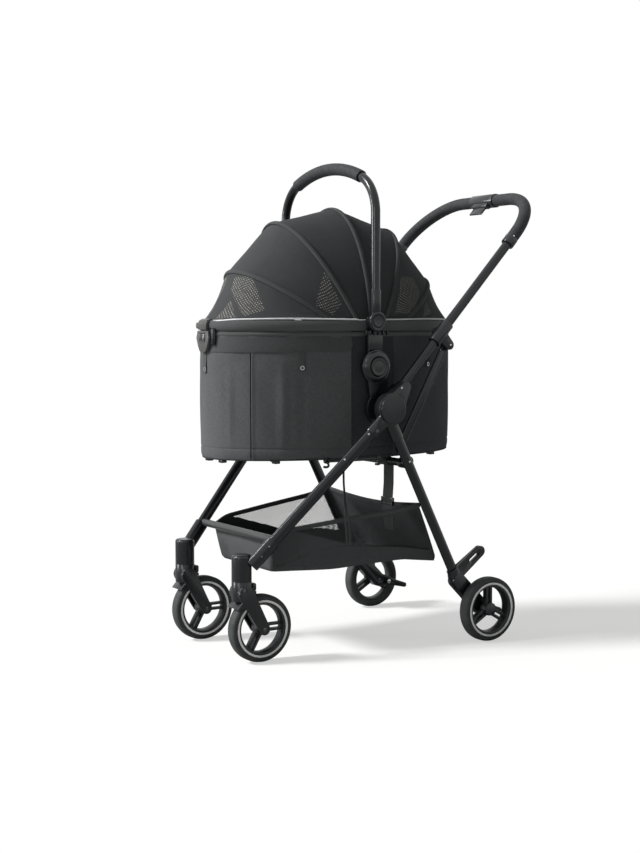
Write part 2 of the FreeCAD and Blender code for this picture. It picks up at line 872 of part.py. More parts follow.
both("handle_brackets", join("handle_bracket", bracket, link_pin))


# Link bars from the handle's brackets down to the rear legs

leg_pivot = on_rear_leg(0, size.link_leg_distance)
link_ends = (yz(leg_pivot), yz(lug), size.link_radius, size.link_radius)
link_bar = strap("link_bar", size.link_x, "link_thick", *link_ends)
link_hole = rod("link_hole", "link_pin_radius + running_gap", "link_thick", at_x(size.link_x, lug), AXIS_X)
head_start = at_x(size.link_x - size.link_head_height, leg_pivot)
link_head = rod("link_head", "link_pin_radius + link_head_wall", "link_head_height", head_start, AXIS_X)
pair("link_bar", without("link", join("link_body", link_bar, link_head), link_hole))


# Rear frame: legs with their heads, the bar between them and the axle brackets

leg_x = size.rear_leg_x
leg_inner = leg_x - size.rear_leg_width / 2
leg_section = ("rear_leg_width - 2 * rear_leg_recess", "rear_leg_depth")
leg_start = on_rear_leg(leg_x, size.rear_leg_start)
leg_end = on_rear_leg(leg_x, size.rear_leg_low)
rear_leg_room = oval_bar("rear_leg_room", leg_start, leg_end, *leg_section, "snug_gap")
head = rod("rear_head", "rear_head_radius", "rear_leg_width", at_x(leg_inner, hub), AXIS_X)
head_sleeve = oval_bar(
    "rear_head_sleeve",
    on_rear_leg(leg_x, size.rear_head_start),
    on_rear_leg(leg_x, size.rear_head_length),
    "rear_leg_width",
    "rear_leg_depth + 2 * head_wall",
)
head_bore = rod("head_bore", "hub_pin_radius + running_gap", "rear_leg_width", at_x(leg_inner, hub), AXIS_X)
head_body = join("rear_head_body", head, head_sleeve)
both("rear_leg_heads", without("rear_leg_head", head_body, rear_leg_room, head_bore))
pair("rear_leg", oval_tube("rear_leg_tube", leg_start, leg_end, *leg_section))

clamp_inner = leg_inner - size.clamp_length
bar_length = "2 * (rear_leg_x - rear_leg_width / 2 - clamp_length + clamp_seat)"
bar_middle = on_rear_leg(0, size.rear_bar_distance)
bar_end = bar_middle - AXIS_X * (clamp_inner + size.clamp_seat)
rear_bar = rod("rear_bar", "rear_bar_radius", bar_length, bar_end, AXIS_X)
rear_bar_bore = rod("rear_bar_bore", "rear_bar_radius - tube_wall", bar_length, bar_end, AXIS_X)
node("rear_crossbar", without("rear_crossbar", rear_bar, rear_bar_bore))
clamp = strap(
    "crossbar_clamp",
    clamp_inner,
    "clamp_length + clamp_wall",
    yz(bar_middle),
    yz(on_rear_leg(0, size.rear_bar_distance, size.clamp_seat)),
    size.rear_bar_radius + size.clamp_wall,
    size.rear_bar_radius + size.clamp_wall,
)
clamp_bore = rod("clamp_bore", "rear_bar_radius", "clamp_seat", at_x(clamp_inner, bar_middle), AXIS_X)
both("crossbar_clamps", without("clamp_cut", clamp, clamp_bore, rear_leg_room))

foot_sleeve = oval_bar(
    "foot_sleeve",
    on_rear_leg(leg_x, size.bracket_start),
    on_rear_leg(leg_x, size.bracket_end),
    "rear_leg_width",
    "rear_leg_depth",
    "foot_sleeve_wall",
)
housing_depth = "housing_outer_x - housing_inner_x"
housing = strap(
    "axle_housing",
    size.housing_inner_x,
    housing_depth,
    yz(on_rear_leg(0, size.rear_leg_low)),
    yz(rear_axle),
    size.housing_radius,
    size.housing_radius,
)
brake_pivot = Vector(0, size.brake_pivot_y, size.brake_pivot_z)
brake_boss = strap(
    "brake_boss",
    size.housing_inner_x,
    housing_depth,
    yz(rear_axle),
    yz(brake_pivot),
    size.housing_radius,
    size.brake_boss_radius,
)
loop_x = leg_x - size.loop_thick / 2
loop_root = on_rear_leg(0, size.bracket_start + size.loop_drop)
loop_along = Rotation(AXIS_X, size.loop_angle) * AXIS_Y
loop_tip = loop_root + loop_along * size.loop_reach
loop = strap(
    "foot_loop_plate",
    loop_x,
    "loop_thick",
    yz(loop_root),
    yz(loop_tip),
    size.loop_root_radius,
    size.loop_tip_radius,
)
slot_tip = loop_tip - loop_along * size.loop_slot_end
loop_hole = strap(
    "foot_loop_hole",
    loop_x,
    "loop_thick",
    yz(slot_tip - loop_along * size.loop_slot),
    yz(slot_tip),
    size.loop_slot_radius,
    size.loop_slot_radius,
)
axle_seat = rod("axle_seat", "axle_radius", housing_depth, at_x(size.housing_inner_x, rear_axle), AXIS_X)
foot_body = join("foot_body", foot_sleeve, housing, brake_boss, without("foot_loop", loop, loop_hole))
brake_x = size.housing_inner_x - size.brake_width - size.seat_gap
brake_pin = rod("brake_pin", "axle_radius", "brake_width + seat_gap", at_x(brake_x, brake_pivot), AXIS_X)
foot_cut = without("foot_cut", foot_body, rear_leg_room, axle_seat)
both("axle_brackets", join("axle_bracket", foot_cut, brake_pin))
stub = rod(
    "rear_stub",
    "axle_radius",
    "rear_wheel_x + tyre_width / 2 - housing_inner_x",
    at_x(size.housing_inner_x, rear_axle),
    AXIS_X,
)
both("rear_axles", stub)

fall = math.radians(size.brake_fall)
brake_tip = brake_pivot + Vector(0, math.cos(fall), -math.sin(fall)) * size.brake_reach
brake = strap(
    "brake_lever",
    brake_x,
    "brake_width",
    yz(brake_pivot),
    yz(brake_tip),
    size.brake_hub_radius,
    size.brake_tip_radius,
)
brake_bore = rod(
    "brake_bore", "axle_radius + running_gap", "brake_width", at_x(brake_x, brake_pivot), AXIS_X
)
pair("brake_lever", without("brake_lever_cut", brake, brake_bore))


# Carrier: an oval tub with a padded rim, a base board and the side plates that hang it


def oval_disc(name, grow, low_z, height):
    """An upright oval block about the carrier's middle; grow and height are sheet expressions."""
    outline = bind(
        doc.addObject("Part::Ellipse", name + "_outline"),
        MajorRadius=f"carrier_half_length + {grow}",
        MinorRadius=f"carrier_half_width + {grow}",
    )
    outline.Placement = Placement(carrier_middle + AXIS_Z * low_z, Rotation(AXIS_Z, 90))
    thing = doc.addObject("Part::Extrusion", name)
    thing.Base = outline
    thing.DirMode = "Custom"
    thing.Dir = AXIS_Z
    thing.Solid = True
    return bind(thing, LengthFwd=height)


floor_z = size.carrier_floor_z
tub = without(
    "carrier_tub",
    oval_disc("tub_outer", "0", floor_z, "carrier_rim_z - carrier_floor_z"),
    oval_disc("tub_room", "0 - carrier_wall", floor_z + size.carrier_wall, "carrier_rim_z - carrier_floor_z"),
)
node("carrier_tub", tub)
rim_ring = without(
    "carrier_rim",
    oval_disc("rim_outer", "rim_out", size.carrier_rim_z, "rim_height"),
    oval_disc("rim_room", "0 - rim_in", size.carrier_rim_z, "rim_height"),
)
board = oval_disc("board", "0 - carrier_wall - seat_gap", floor_z + size.carrier_wall, "board_thick")
feet = []
for corner, (side, end) in enumerate(((1, 1), (1, -1), (-1, 1), (-1, -1))):
    place = Vector(side * size.foot_x, size.carrier_y + end * size.foot_y, floor_z - size.foot_height)
    feet.append(rod(f"foot_{corner}", "foot_radius", "foot_height", place))
node("base_board", group("base_board", board, *feet))

plate_x = size.carrier_half_width + size.rim_out + size.seat_gap
plate_side = Vector(plate_x, size.carrier_y - size.plate_width / 2, 0)
arch_pivot = Vector(0, size.carrier_y, size.arch_z)
plate = block(
    "side_plate_body",
    "plate_thick",
    "plate_width",
    "arch_z - plate_low",
    plate_side + AXIS_Z * size.plate_low,
)
boss = rod("plate_boss", "arch_ring_radius - seat_gap", "plate_thick", at_x(plate_x, arch_pivot), AXIS_X)
yoke_z = size.receiver_z + size.receiver_radius + size.yoke_wall
yoke = block(
    "plate_yoke",
    "yoke_outer_x - carrier_half_width - rim_out - seat_gap",
    "plate_width + 2 * yoke_wall",
    "yoke_top - receiver_z - receiver_radius - yoke_wall",
    plate_side + Vector(0, -size.yoke_wall, yoke_z),
)
tongue = block(
    "plate_tongue",
    "tongue_thick",
    "tongue_width",
    "yoke_top - tongue_low",
    Vector(tongue_x, size.carrier_y - size.tongue_width / 2, size.tongue_low),
)
pad = block(
    "plate_pad",
    "plate_thick",
    "plate_width",
    "carrier_rim_z - plate_low - pad_drop",
    Vector(size.carrier_half_width, plate_side.y, size.plate_low),
)
arch_pin = rod(
    "arch_pin",
    "arch_pin_radius",
    "arch_ring_outer_x - carrier_half_width - rim_out - arch_button_thick - 2 * arch_button_rise",
    at_x(plate_x, arch_pivot),
    AXIS_X,
)
tub_room = oval_disc("plate_tub_room", "snug_gap", floor_z, "carrier_rim_z - carrier_floor_z")
rim_room = oval_disc("plate_rim_room", "rim_out + snug_gap", size.carrier_rim_z, "2 * rim_height")
plate_block = join("side_plate_block", plate, boss, yoke, tongue, pad, arch_pin)
both("side_plates", without("side_plate", plate_block, tub_room, rim_room))

clasp_y = size.carrier_y - size.carrier_half_length - size.rim_out - size.clasp_thick
clasp_body = block(
    "clasp_body",
    "clasp_width",
    "clasp_thick + clasp_root",
    "clasp_height",
    Vector(-size.clasp_width / 2, clasp_y, rim_top + size.clasp_rise - size.clasp_height),
)
clasp_low = rim_top - size.clasp_height / 2
clasp_room = block(
    "clasp_button_room",
    "clasp_width / 2 + 2 * running_gap",
    "clasp_button_thick",
    "clasp_height / 4 + 2 * running_gap",
    Vector(-size.clasp_width / 4 - size.running_gap, clasp_y, clasp_low - size.running_gap),
)
node("front_clasp", without("front_clasp", clasp_body, clasp_room, tub_room, rim_room))
clasp_button = block(
    "clasp_button",
    "clasp_width / 2",
    "clasp_button_thick",
    "clasp_height / 4",
    Vector(-size.clasp_width / 4, clasp_y - size.clasp_travel, clasp_low),
)
node("clasp_button", clasp_button)
node("carrier_rim", rim_ring)


# Canopy: three nested shells and their bows, all round the line through the canopy's centre

canopy_centre = Vector(0, size.carrier_y, size.canopy_z)


def dome(name, grow, low, high):
    """A wedge of an oval ball about X, between two angles up from +Y; grow is a sheet expression."""
    thing = bind(
        doc.addObject("Part::Ellipsoid", name),
        Radius1=f"canopy_half_width + {grow}",
        Radius2=f"canopy_radius + {grow}",
        Radius3=f"canopy_radius + {grow}",
    )
    thing.Angle1 = -90
    thing.Angle2 = 90
    thing.Angle3 = high - low
    # the ball's own axis turns onto X, and its first face onto the low angle
    onto_x = Rotation(AXIS_Y, AXIS_Z, AXIS_X, "ZXY")
    thing.Placement = Placement(canopy_centre, Rotation(AXIS_X, low) * onto_x)
    return thing


below_deck = block(
    "below_deck",
    "2 * canopy_radius",
    "3 * canopy_radius",
    "carrier_rim_z + rim_height + deck_gap",
    Vector(-size.canopy_radius, size.carrier_y - 1.5 * size.canopy_radius, 0),
)
side_hole = rod(
    "side_hole",
    "canopy_hub_radius",
    "4 * canopy_half_width",
    canopy_centre - AXIS_X * (2 * size.canopy_half_width),
    AXIS_X,
)


def shell(name, layer, low, high, moving):
    """A skin of the dome, the given number of layers down, clear of the rim below it."""
    outer = dome(name + "_outer", f"0 - {layer} * canopy_step", low, high)
    inner = dome(name + "_inner", f"0 - {layer} * canopy_step - canopy_skin", low, high)
    tools = [inner, below_deck]
    if moving:
        tools.append(side_hole)
    return without(name, outer, *tools)


def bow(name, layer, angle, moving):
    """A thin rib that stands on the outside of a shell."""
    across = Vector(0, math.cos(math.radians(angle)), math.sin(math.radians(angle)))
    normal = AXIS_X.cross(across)
    rings = []
    for end, grow in (("outer", "bow_height"), ("inner", "0")):
        ring = bind(
            doc.addObject("Part::Ellipse", f"{name}_{end}_outline"),
            MajorRadius=f"canopy_radius - {layer} * canopy_step + {grow}",
            MinorRadius=f"canopy_half_width - {layer} * canopy_step + {grow}",
        )
        facing = Rotation(across, normal.cross(across), normal, "ZXY")
        ring.Placement = Placement(canopy_centre - normal * (size.bow_width / 2), facing)
        bar = doc.addObject("Part::Extrusion", f"{name}_{end}")
        bar.Base = ring
        bar.DirMode = "Custom"
        bar.Dir = normal
        bar.Solid = True
        rings.append(bind(bar, LengthFwd="bow_width"))
    tools = [rings[1], below_deck]
    if moving:
        tools.append(side_hole)
    return without(name, rings[0], *tools)


half_bow = math.degrees(size.bow_width / 2 / size.canopy_radius)
node("canopy_rear", shell("canopy_rear", 0, size.rear_angle, 90.0, False))
rear_bows = [
    bow("rear_bow", 0, size.rear_bow_angle, False),
    bow("high_bow", 0, size.high_bow_angle, False),
    bow("top_bow", 0, 90.0 - 2 * half_bow, False),
]
node("canopy_bows", group("canopy_bows", *rear_bows))
node("canopy_middle", shell("canopy_middle", 1, 90.0 - half_bow, size.mid_angle, True))
node("middle_bow", bow("middle_bow", 1, size.mid_angle - 2 * half_bow, True))
node("canopy_front", shell("canopy_front", 2, size.mid_angle - half_bow, size.front_angle, True))
node("front_bow", bow("front_bow", 2, size.front_bow_angle, True))


# Carry arch: a bent tube on two pivoting sleeves, with a grip and two buttons

shoulder_z = size.arch_top_z - size.arch_rise
tube_low = size.arch_z + size.sleeve_lift + size.arch_sleeve_length - size.arch_tube_depth
arch_ratio = (size.arch_rise - size.arch_shoulder_radius) / (size.arch_x - size.arch_shoulder_radius)
shoulder_turn = math.pi / 2 - 2 * math.atan(arch_ratio)
shoulder_x = size.arch_x - size.arch_shoulder_radius
crown_radius = size.arch_shoulder_radius + shoulder_x / math.cos(shoulder_turn)
crown_z = size.arch_top_z - crown_radius


def arch_point(x, z):
    return Vector(x, size.carrier_y, z)


def crown_point(angle):
    return arch_point(crown_radius * math.cos(angle), crown_z + crown_radius * math.sin(angle))


def shoulder_point(angle):
    radius = size.arch_shoulder_radius
    return arch_point(shoulder_x + radius * math.cos(angle), shoulder_z + radius * math.sin(angle))


def flipped(point):
    return Vector(-point.x, point.y, point.z)


crown_end = crown_point(shoulder_turn)
crown = Part.Arc(crown_end, arch_point(0, size.arch_top_z), flipped(crown_end)).toShape()
left_bend = [shoulder_point(shoulder_turn * part) for part in (0, 0.5, 1)]
right_bend = [flipped(point) for point in reversed(left_bend)]
left_shoulder = Part.Arc(*left_bend).toShape()
right_shoulder = Part.Arc(*right_bend).toShape()
left_leg = Part.makeLine(arch_point(size.arch_x, tube_low), shoulder_point(0))
right_leg = Part.makeLine(flipped(shoulder_point(0)), arch_point(-size.arch_x, tube_low))
arch_path = [left_leg, left_shoulder, crown, right_shoulder, right_leg]
arch_solid = bent_bar("arch_solid", arch_path, size.arch_radius)
arch_room = bent_bar("arch_room", arch_path, size.arch_radius - size.tube_wall)
node("carry_arch", without("carry_arch", arch_solid, arch_room))
grip_outer = bent_bar("arch_grip_outer", [crown], size.arch_grip_radius)
grip_inner = bent_bar("arch_grip_inner", [crown], size.arch_radius)
node("arch_grip", without("arch_grip", grip_outer, grip_inner))

ring_x = plate_x + size.plate_thick + size.seat_gap
sleeve_ring = rod(
    "sleeve_ring",
    "arch_ring_radius",
    "arch_ring_outer_x - carrier_half_width - rim_out - plate_thick - 2 * seat_gap",
    at_x(ring_x, arch_pivot),
    AXIS_X,
)
sleeve_base = Vector(size.arch_x, size.carrier_y, size.arch_z + size.sleeve_lift)
sleeve_post = rod("sleeve_post", "arch_sleeve_radius", "arch_sleeve_length", sleeve_base)
ring_side = block(
    "ring_side",
    "ring_clear",
    "2 * ring_clear",
    "2 * ring_clear",
    arch_pivot + Vector(ring_x - size.ring_clear, -size.ring_clear, -size.ring_clear),
)
button_side = block(
    "button_side",
    "ring_clear",
    "2 * ring_clear",
    "arch_button_radius + sleeve_lift + ring_clear",
    arch_pivot + Vector(size.arch_ring_outer_x, -size.ring_clear, -size.ring_clear),
)
tube_foot = Vector(size.arch_x, size.carrier_y, tube_low)
tube_hole = rod("tube_hole", "arch_radius + snug_gap", "arch_tube_depth", tube_foot)
ring_middle = at_x(ring_x, arch_pivot)
pin_hole = rod("arch_pin_hole", "arch_pin_radius + running_gap", "ring_clear", ring_middle, AXIS_X)
button_room = rod(
    "arch_button_room",
    "arch_button_radius + running_gap",
    "arch_button_thick + arch_button_rise",
    at_x(size.arch_ring_outer_x - size.arch_button_thick, arch_pivot),
    AXIS_X,
)
sleeve_body = join("arch_sleeve_body", sleeve_ring, sleeve_post)
both(
    "arch_sleeves",
    without("arch_sleeve", sleeve_body, ring_side, button_side, tube_hole, pin_hole, button_room),
)
arch_button = rod(
    "arch_button",
    "arch_button_radius",
    "arch_button_thick",
    at_x(size.arch_ring_outer_x - size.arch_button_thick + size.arch_button_rise, arch_pivot),
    AXIS_X,
)
pair("arch_button", arch_button)


# Lower basket: a fabric tray hung between the legs


def basket_outline(inset, at_floor):
    """The basket's plan at its rim or its floor, drawn in by inset."""
    sink = size.basket_floor_inset if at_floor else 0.0
    front_half = size.basket_front_half - inset - sink
    rear_half = size.basket_rear_half - inset - sink
    front_y = bar_start.y + size.crossbar_radius + size.seat_gap + inset + sink / 2
    rear_y = (size.basket_floor_rear_y if at_floor else size.basket_rear_y) - inset
    front_z = size.basket_floor_z if at_floor else size.basket_front_z
    rear_z = size.basket_floor_z if at_floor else size.basket_rear_z
    return Part.makePolygon(
        [
            Vector(front_half, front_y, front_z),
            Vector(rear_half, rear_y, rear_z),
            Vector(-rear_half, rear_y, rear_z),
            Vector(-front_half, front_y, front_z),
            Vector(front_half, front_y, front_z),
        ]
    )


def basket_block(name, inset):
    outlines = [basket_outline(inset, at_floor) for at_floor in (False, True)]
    return shaped(name, Part.makeLoft(outlines, True, True))


basket_outer = basket_block("basket_outer", 0)
basket_room = basket_block("basket_room", size.basket_skin)
basket_room.Placement = Placement(AXIS_Z * size.basket_skin, Rotation())
node("lower_basket", without("lower_basket", basket_outer, basket_room))


# Rivets on the fixed frame

both("frame_rivets", rod("leg_rivet", "rivet_radius", "rivet_height", rivet_base, outward))

doc.recompute()
failed = [thing.Name for thing in doc.Objects if "Invalid" in thing.State or "Error" in thing.State]
if failed:
    sys.exit(f"failed objects: {failed}")
for name, thing in nodes.items():
    if thing.Shape.isNull() or not thing.Shape.isValid():
        sys.exit(f"bad shape: {name}")
os.makedirs("parts", exist_ok=True)
for name, thing in nodes.items():
    thing.Shape.exportStep(f"parts/{name}.step")
print(len(nodes), "nodes")
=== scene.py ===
import json
import math

import bpy
from mathutils import Matrix, Vector


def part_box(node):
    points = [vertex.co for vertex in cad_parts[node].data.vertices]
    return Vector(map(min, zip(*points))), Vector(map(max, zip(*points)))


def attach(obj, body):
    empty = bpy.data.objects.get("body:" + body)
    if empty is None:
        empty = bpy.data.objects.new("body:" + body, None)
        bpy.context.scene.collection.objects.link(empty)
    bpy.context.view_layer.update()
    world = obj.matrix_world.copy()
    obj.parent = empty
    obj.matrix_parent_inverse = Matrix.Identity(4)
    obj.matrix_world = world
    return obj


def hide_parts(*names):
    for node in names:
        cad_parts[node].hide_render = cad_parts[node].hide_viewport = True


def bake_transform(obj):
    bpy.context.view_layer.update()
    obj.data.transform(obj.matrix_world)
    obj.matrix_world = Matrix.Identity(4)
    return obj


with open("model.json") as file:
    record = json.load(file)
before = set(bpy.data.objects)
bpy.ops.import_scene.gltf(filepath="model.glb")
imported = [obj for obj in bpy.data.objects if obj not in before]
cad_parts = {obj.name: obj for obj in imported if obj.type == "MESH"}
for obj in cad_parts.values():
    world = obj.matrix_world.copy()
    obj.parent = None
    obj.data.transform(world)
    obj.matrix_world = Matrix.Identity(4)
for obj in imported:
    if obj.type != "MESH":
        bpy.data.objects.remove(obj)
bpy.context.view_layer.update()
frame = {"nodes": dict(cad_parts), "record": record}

MM = 0.001
AXLE = (1, 0, 0)
BODY_OF = {node: body for body, nodes in frame["record"]["behaviour"]["bodies"].items() for node in nodes}


# ---- camera, light and floor


def aim_camera():
    """The camera stands low at the front left corner of the stroller and looks a little down."""
    turn = (math.radians(90 - 4.245), 0, math.radians(57.486))
    bpy.ops.object.camera_add(location=(2.80142, -1.88018, 0.74590), rotation=turn)
    camera = bpy.context.object
    camera.name = "view"
    camera.data.lens = 60.03
    camera.data.sensor_width = 36.0
    camera.data.clip_end = 60
    bpy.context.scene.camera = camera
    bpy.context.scene.view_settings.view_transform = "Standard"


def wired(tree, kind, sockets=None, **settings):
    """Add a shader node. sockets gives its inputs plain values or the outputs of other nodes."""
    node = tree.nodes.new("ShaderNode" + kind)
    for setting, value in settings.items():
        setattr(node, setting, value)
    for place, value in (sockets or {}).items():
        if isinstance(value, bpy.types.NodeSocket):
            tree.links.new(value, node.inputs[place])
        else:
            node.inputs[place].default_value = value
    return node.outputs


def empty_tree(owner):
    owner.use_nodes = True
    owner.node_tree.nodes.clear()
    return owner.node_tree


def light_studio():
    """A soft key lamp at the front, two low strips for the tubes' highlights, weak top and rear fill, white around."""
    for name, towards, strength, spread in (
        ("front_key", (-0.34, -1.0, 0.85), 3.7, 12),
        ("front_strip", (-0.58, -1.0, 0.12), 1.1, 14),
        ("side_strip", (0.45, -1.0, 0.12), 0.28, 12),
        ("top_soft", (0.0, -0.25, 1.0), 0.15, 60),
        ("rear_fill", (0.8, 0.6, 0.4), 0.07, 60),
    ):
        bpy.ops.object.light_add(type="SUN", location=Vector(towards) * 4)
        lamp = bpy.context.object
        lamp.name = name
        lamp.rotation_euler = Vector(towards).to_track_quat("Z", "Y").to_euler()
        lamp.data.energy = strength
        lamp.data.angle = math.radians(spread)
    world = bpy.data.worlds.new("studio")
    bpy.context.scene.world = world
    tree = empty_tree(world)
    ray = wired(tree, "LightPath")
    mirror = wired(tree, "Math", {0: ray["Is Glossy Ray"], 1: ray["Is Transmission Ray"]}, operation="MAXIMUM")
    seen = wired(tree, "Math", {0: ray["Is Camera Ray"], 1: mirror[0]}, operation="MAXIMUM")
    level = wired(tree, "MapRange", {"Value": seen[0], "To Min": 0.06, "To Max": 1.0})
    sky = wired(tree, "Background", {"Color": (1, 1, 1, 1), "Strength": level["Result"]})
    wired(tree, "OutputWorld", {"Surface": sky[0]})


def lay_floor():
    """A pale floor that keeps only a soft shadow under the wheels."""
    bpy.ops.mesh.primitive_plane_add(size=30, location=(0, 0, -0.0006))
    floor = bpy.context.object
    floor.name = "floor"
    material = bpy.data.materials.new("pale_floor")
    tree = empty_tree(material)
    ray = wired(tree, "LightPath")
    matt = wired(tree, "BsdfDiffuse", {"Color": (0.52, 0.52, 0.515, 1)})
    level = wired(tree, "Math", {0: ray["Is Camera Ray"], 1: 0.545}, operation="MULTIPLY")
    glow = wired(tree, "Emission", {"Color": (1, 1, 0.995, 1), "Strength": level[0]})
    both = wired(tree, "AddShader", {0: matt[0], 1: glow[0]})
    wired(tree, "OutputMaterial", {"Surface": both[0]})
    floor.data.materials.append(material)


# ---- bench tools


def nothing_selected():
    if bpy.context.object and bpy.context.object.mode != "OBJECT":
        bpy.ops.object.mode_set(mode="OBJECT")
    bpy.ops.object.select_all(action="DESELECT")


def pick(piece):
    nothing_selected()
    piece.select_set(True)
    bpy.context.view_layer.objects.active = piece


def named(name):
    piece = bpy.context.object
    piece.name = name
    piece.data.name = name
    return piece


def settled(piece):
    """Put the piece's place and turn into its mesh."""
    pick(piece)
    bpy.ops.object.transform_apply(location=True, rotation=True, scale=True)
    return piece


def modified(piece, kind, **settings):
    pick(piece)
    modifier = piece.modifiers.new(kind.lower(), kind)
    for setting, value in settings.items():
        setattr(modifier, setting, value)
    bpy.ops.object.modifier_apply(modifier=modifier.name)
    return piece


def smooth(piece, degrees=32):
    pick(piece)
    bpy.ops.object.shade_smooth_by_angle(angle=math.radians(degrees))
    return piece


def edited(piece, *steps):
    """Run edit-mode steps on the whole mesh; each is an operator with its arguments."""
    pick(piece)
    bpy.ops.object.mode_set(mode="EDIT")
    bpy.ops.mesh.select_all(action="SELECT")
    for operator, settings in steps:
        operator(**settings)
    bpy.ops.object.mode_set(mode="OBJECT")
    return piece


def welded(piece, distance):
    return edited(piece, (bpy.ops.mesh.remove_doubles, {"threshold": distance}))


def outward(piece):
    return edited(piece, (bpy.ops.mesh.normals_make_consistent, {"inside": False}))


def cleaned(piece, distance=1e-5):
    return outward(welded(piece, distance))


def eased(piece, width, segments=2, degrees=35):
    """Round off the sharp edges."""
    limit = math.radians(degrees)
    return modified(piece, "BEVEL", width=width, segments=segments, limit_method="ANGLE", angle_limit=limit)


def roll(name, steps, sides, size, line, degrees=60, weld=2e-5):
    """A soft roll of oval section. line(u) gives its middle and its half widths across and up, as vectors."""

    def place(u, v):
        middle, across, up = line(u)
        return middle + across * math.cos(math.tau * v) + up * math.sin(math.tau * v)

    return smooth(outward(grid(name, steps, sides, place, size, weld)), degrees)


def thickened(piece, thick, offset, degrees):
    """Give an open sheet its thickness; offset is -1 for all of it inwards and 0 for half to each side."""
    outward(piece)
    modified(piece, "SOLIDIFY", thickness=thick, offset=offset)
    return smooth(piece, degrees)


def joined(name, pieces):
    nothing_selected()
    for piece in pieces:
        piece.select_set(True)
    bpy.context.view_layer.objects.active = pieces[0]
    bpy.ops.object.join()
    return named(name)


def placed(name, data):
    """A new piece made from a mesh or a line."""
    piece = bpy.data.objects.new(name, data)
    data.name = name
    bpy.context.scene.collection.objects.link(piece)
    return piece


def mirrored(piece, name):
    """The same piece on the other side of the stroller, with its own mesh."""
    other = placed(name, piece.data.copy())
    other.data.transform(Matrix.Scale(-1, 4, AXLE))
    return edited(other, (bpy.ops.mesh.flip_normals, {}))


def lathe(name, profile, centre=(0, 0, 0), axis=AXLE, segments=64, degrees=32):
    """A turned piece. The profile is (distance along, radius) in millimetres about the axis through centre."""
    nothing_selected()
    bpy.ops.mesh.primitive_plane_add(size=0.01, location=(profile[0][0] * MM, 0, profile[0][1] * MM))
    piece = named(name)
    bpy.ops.object.transform_apply(location=True, rotation=False, scale=False)
    bpy.ops.object.mode_set(mode="EDIT")
    bpy.ops.mesh.merge(type="CENTER")
    for (x, r), (next_x, next_r) in zip(profile, profile[1:]):
        step = ((next_x - x) * MM, 0, (next_r - r) * MM)
        bpy.ops.mesh.extrude_region_move(TRANSFORM_OT_translate={"value": step})
    bpy.ops.mesh.select_all(action="SELECT")
    bpy.ops.mesh.spin(steps=segments, angle=math.tau, center=(0, 0, 0), axis=AXLE)
    bpy.ops.object.mode_set(mode="OBJECT")
    cleaned(piece, 2e-6)
    turn = Vector(AXLE).rotation_difference(Vector(axis)).to_matrix().to_4x4()
    piece.data.transform(Matrix.Translation(centre) @ turn)
    return smooth(piece, degrees)


def slab(name, low, high, ease, segments=2):
    """A plain block between two corners, in metres, with eased edges."""
    nothing_selected()
    low, high = Vector(low), Vector(high)
    bpy.ops.mesh.primitive_cube_add(size=1, location=(low + high) / 2)
    piece = named(name)
    piece.scale = high - low
    settled(piece)
    return smooth(eased(piece, ease, segments))


def grid(name, across, along, place, size, weld=2e-5):
    """A sheet with across by along cells. place(u, v) gives each corner, u and v run from 0 to 1.

    size is the flat width and length in metres, for the weave.
    """
    nothing_selected()
    bpy.ops.mesh.primitive_grid_add(x_subdivisions=across, y_subdivisions=along, size=1)
    piece = named(name)
    for loop in piece.data.uv_layers.active.data:
        loop.uv = (loop.uv.x * size[0], loop.uv.y * size[1])
    for corner in piece.data.vertices:
        corner.co = place(corner.co.x + 0.5, corner.co.y + 0.5)
    piece.data.update()
    return welded(piece, weld) if weld else piece


def plate(name, outline, thick, ease):
    """A flat piece cut to an outline of points in one plane, thickened along the given step."""
    nothing_selected()
    bpy.ops.mesh.primitive_circle_add(vertices=len(outline), radius=1, fill_type="NGON")
    piece = named(name)
    for corner, point in zip(piece.data.vertices, outline):
        corner.co = point
    edited(
        piece,
        (bpy.ops.mesh.extrude_region_move, {"TRANSFORM_OT_translate": {"value": thick}}),
        (bpy.ops.mesh.select_all, {"action": "SELECT"}),
        (bpy.ops.mesh.normals_make_consistent, {"inside": False}),
    )
    return smooth(eased(piece, ease, 3, 20))


def piped(name, points, radius, order=3):
    """A round tube along a smooth line through the given points."""
    nothing_selected()
    line = bpy.data.curves.new(name, "CURVE")
    line.dimensions = "3D"
    spline = line.splines.new("NURBS")
    spline.points.add(len(points) - 1)
    for knot, point in zip(spline.points, points):
        knot.co = (*point, 1)
    spline.order_u = order
    spline.use_endpoint_u = True
    spline.resolution_u = 8
    line.bevel_depth = radius
    line.bevel_resolution = 4
    line.use_fill_caps = True
    pick(placed(name, line))
    bpy.ops.object.convert(target="MESH")
    return smooth(cleaned(named(name)), 50)


def finished(piece, body, finish, replaces=None):
    """Give the piece its finish, and hang it on its body."""
    if not piece.data.materials:
        piece.data.materials.append(finish)
    if body:
        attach(piece, body)
    if replaces:
        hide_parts(replaces)
    return piece


def both_sides(left, body, finish, replaces=None):
    """The left piece and its mirror image, on the bodies of their sides."""
    right = mirrored(left, left.name.replace("_left", "_right"))
    for piece, side in ((left, "left"), (right, "right")):
        finished(piece, body.replace("SIDE", side), finish, replaces and f"{replaces}_{side}")


# ---- finishes


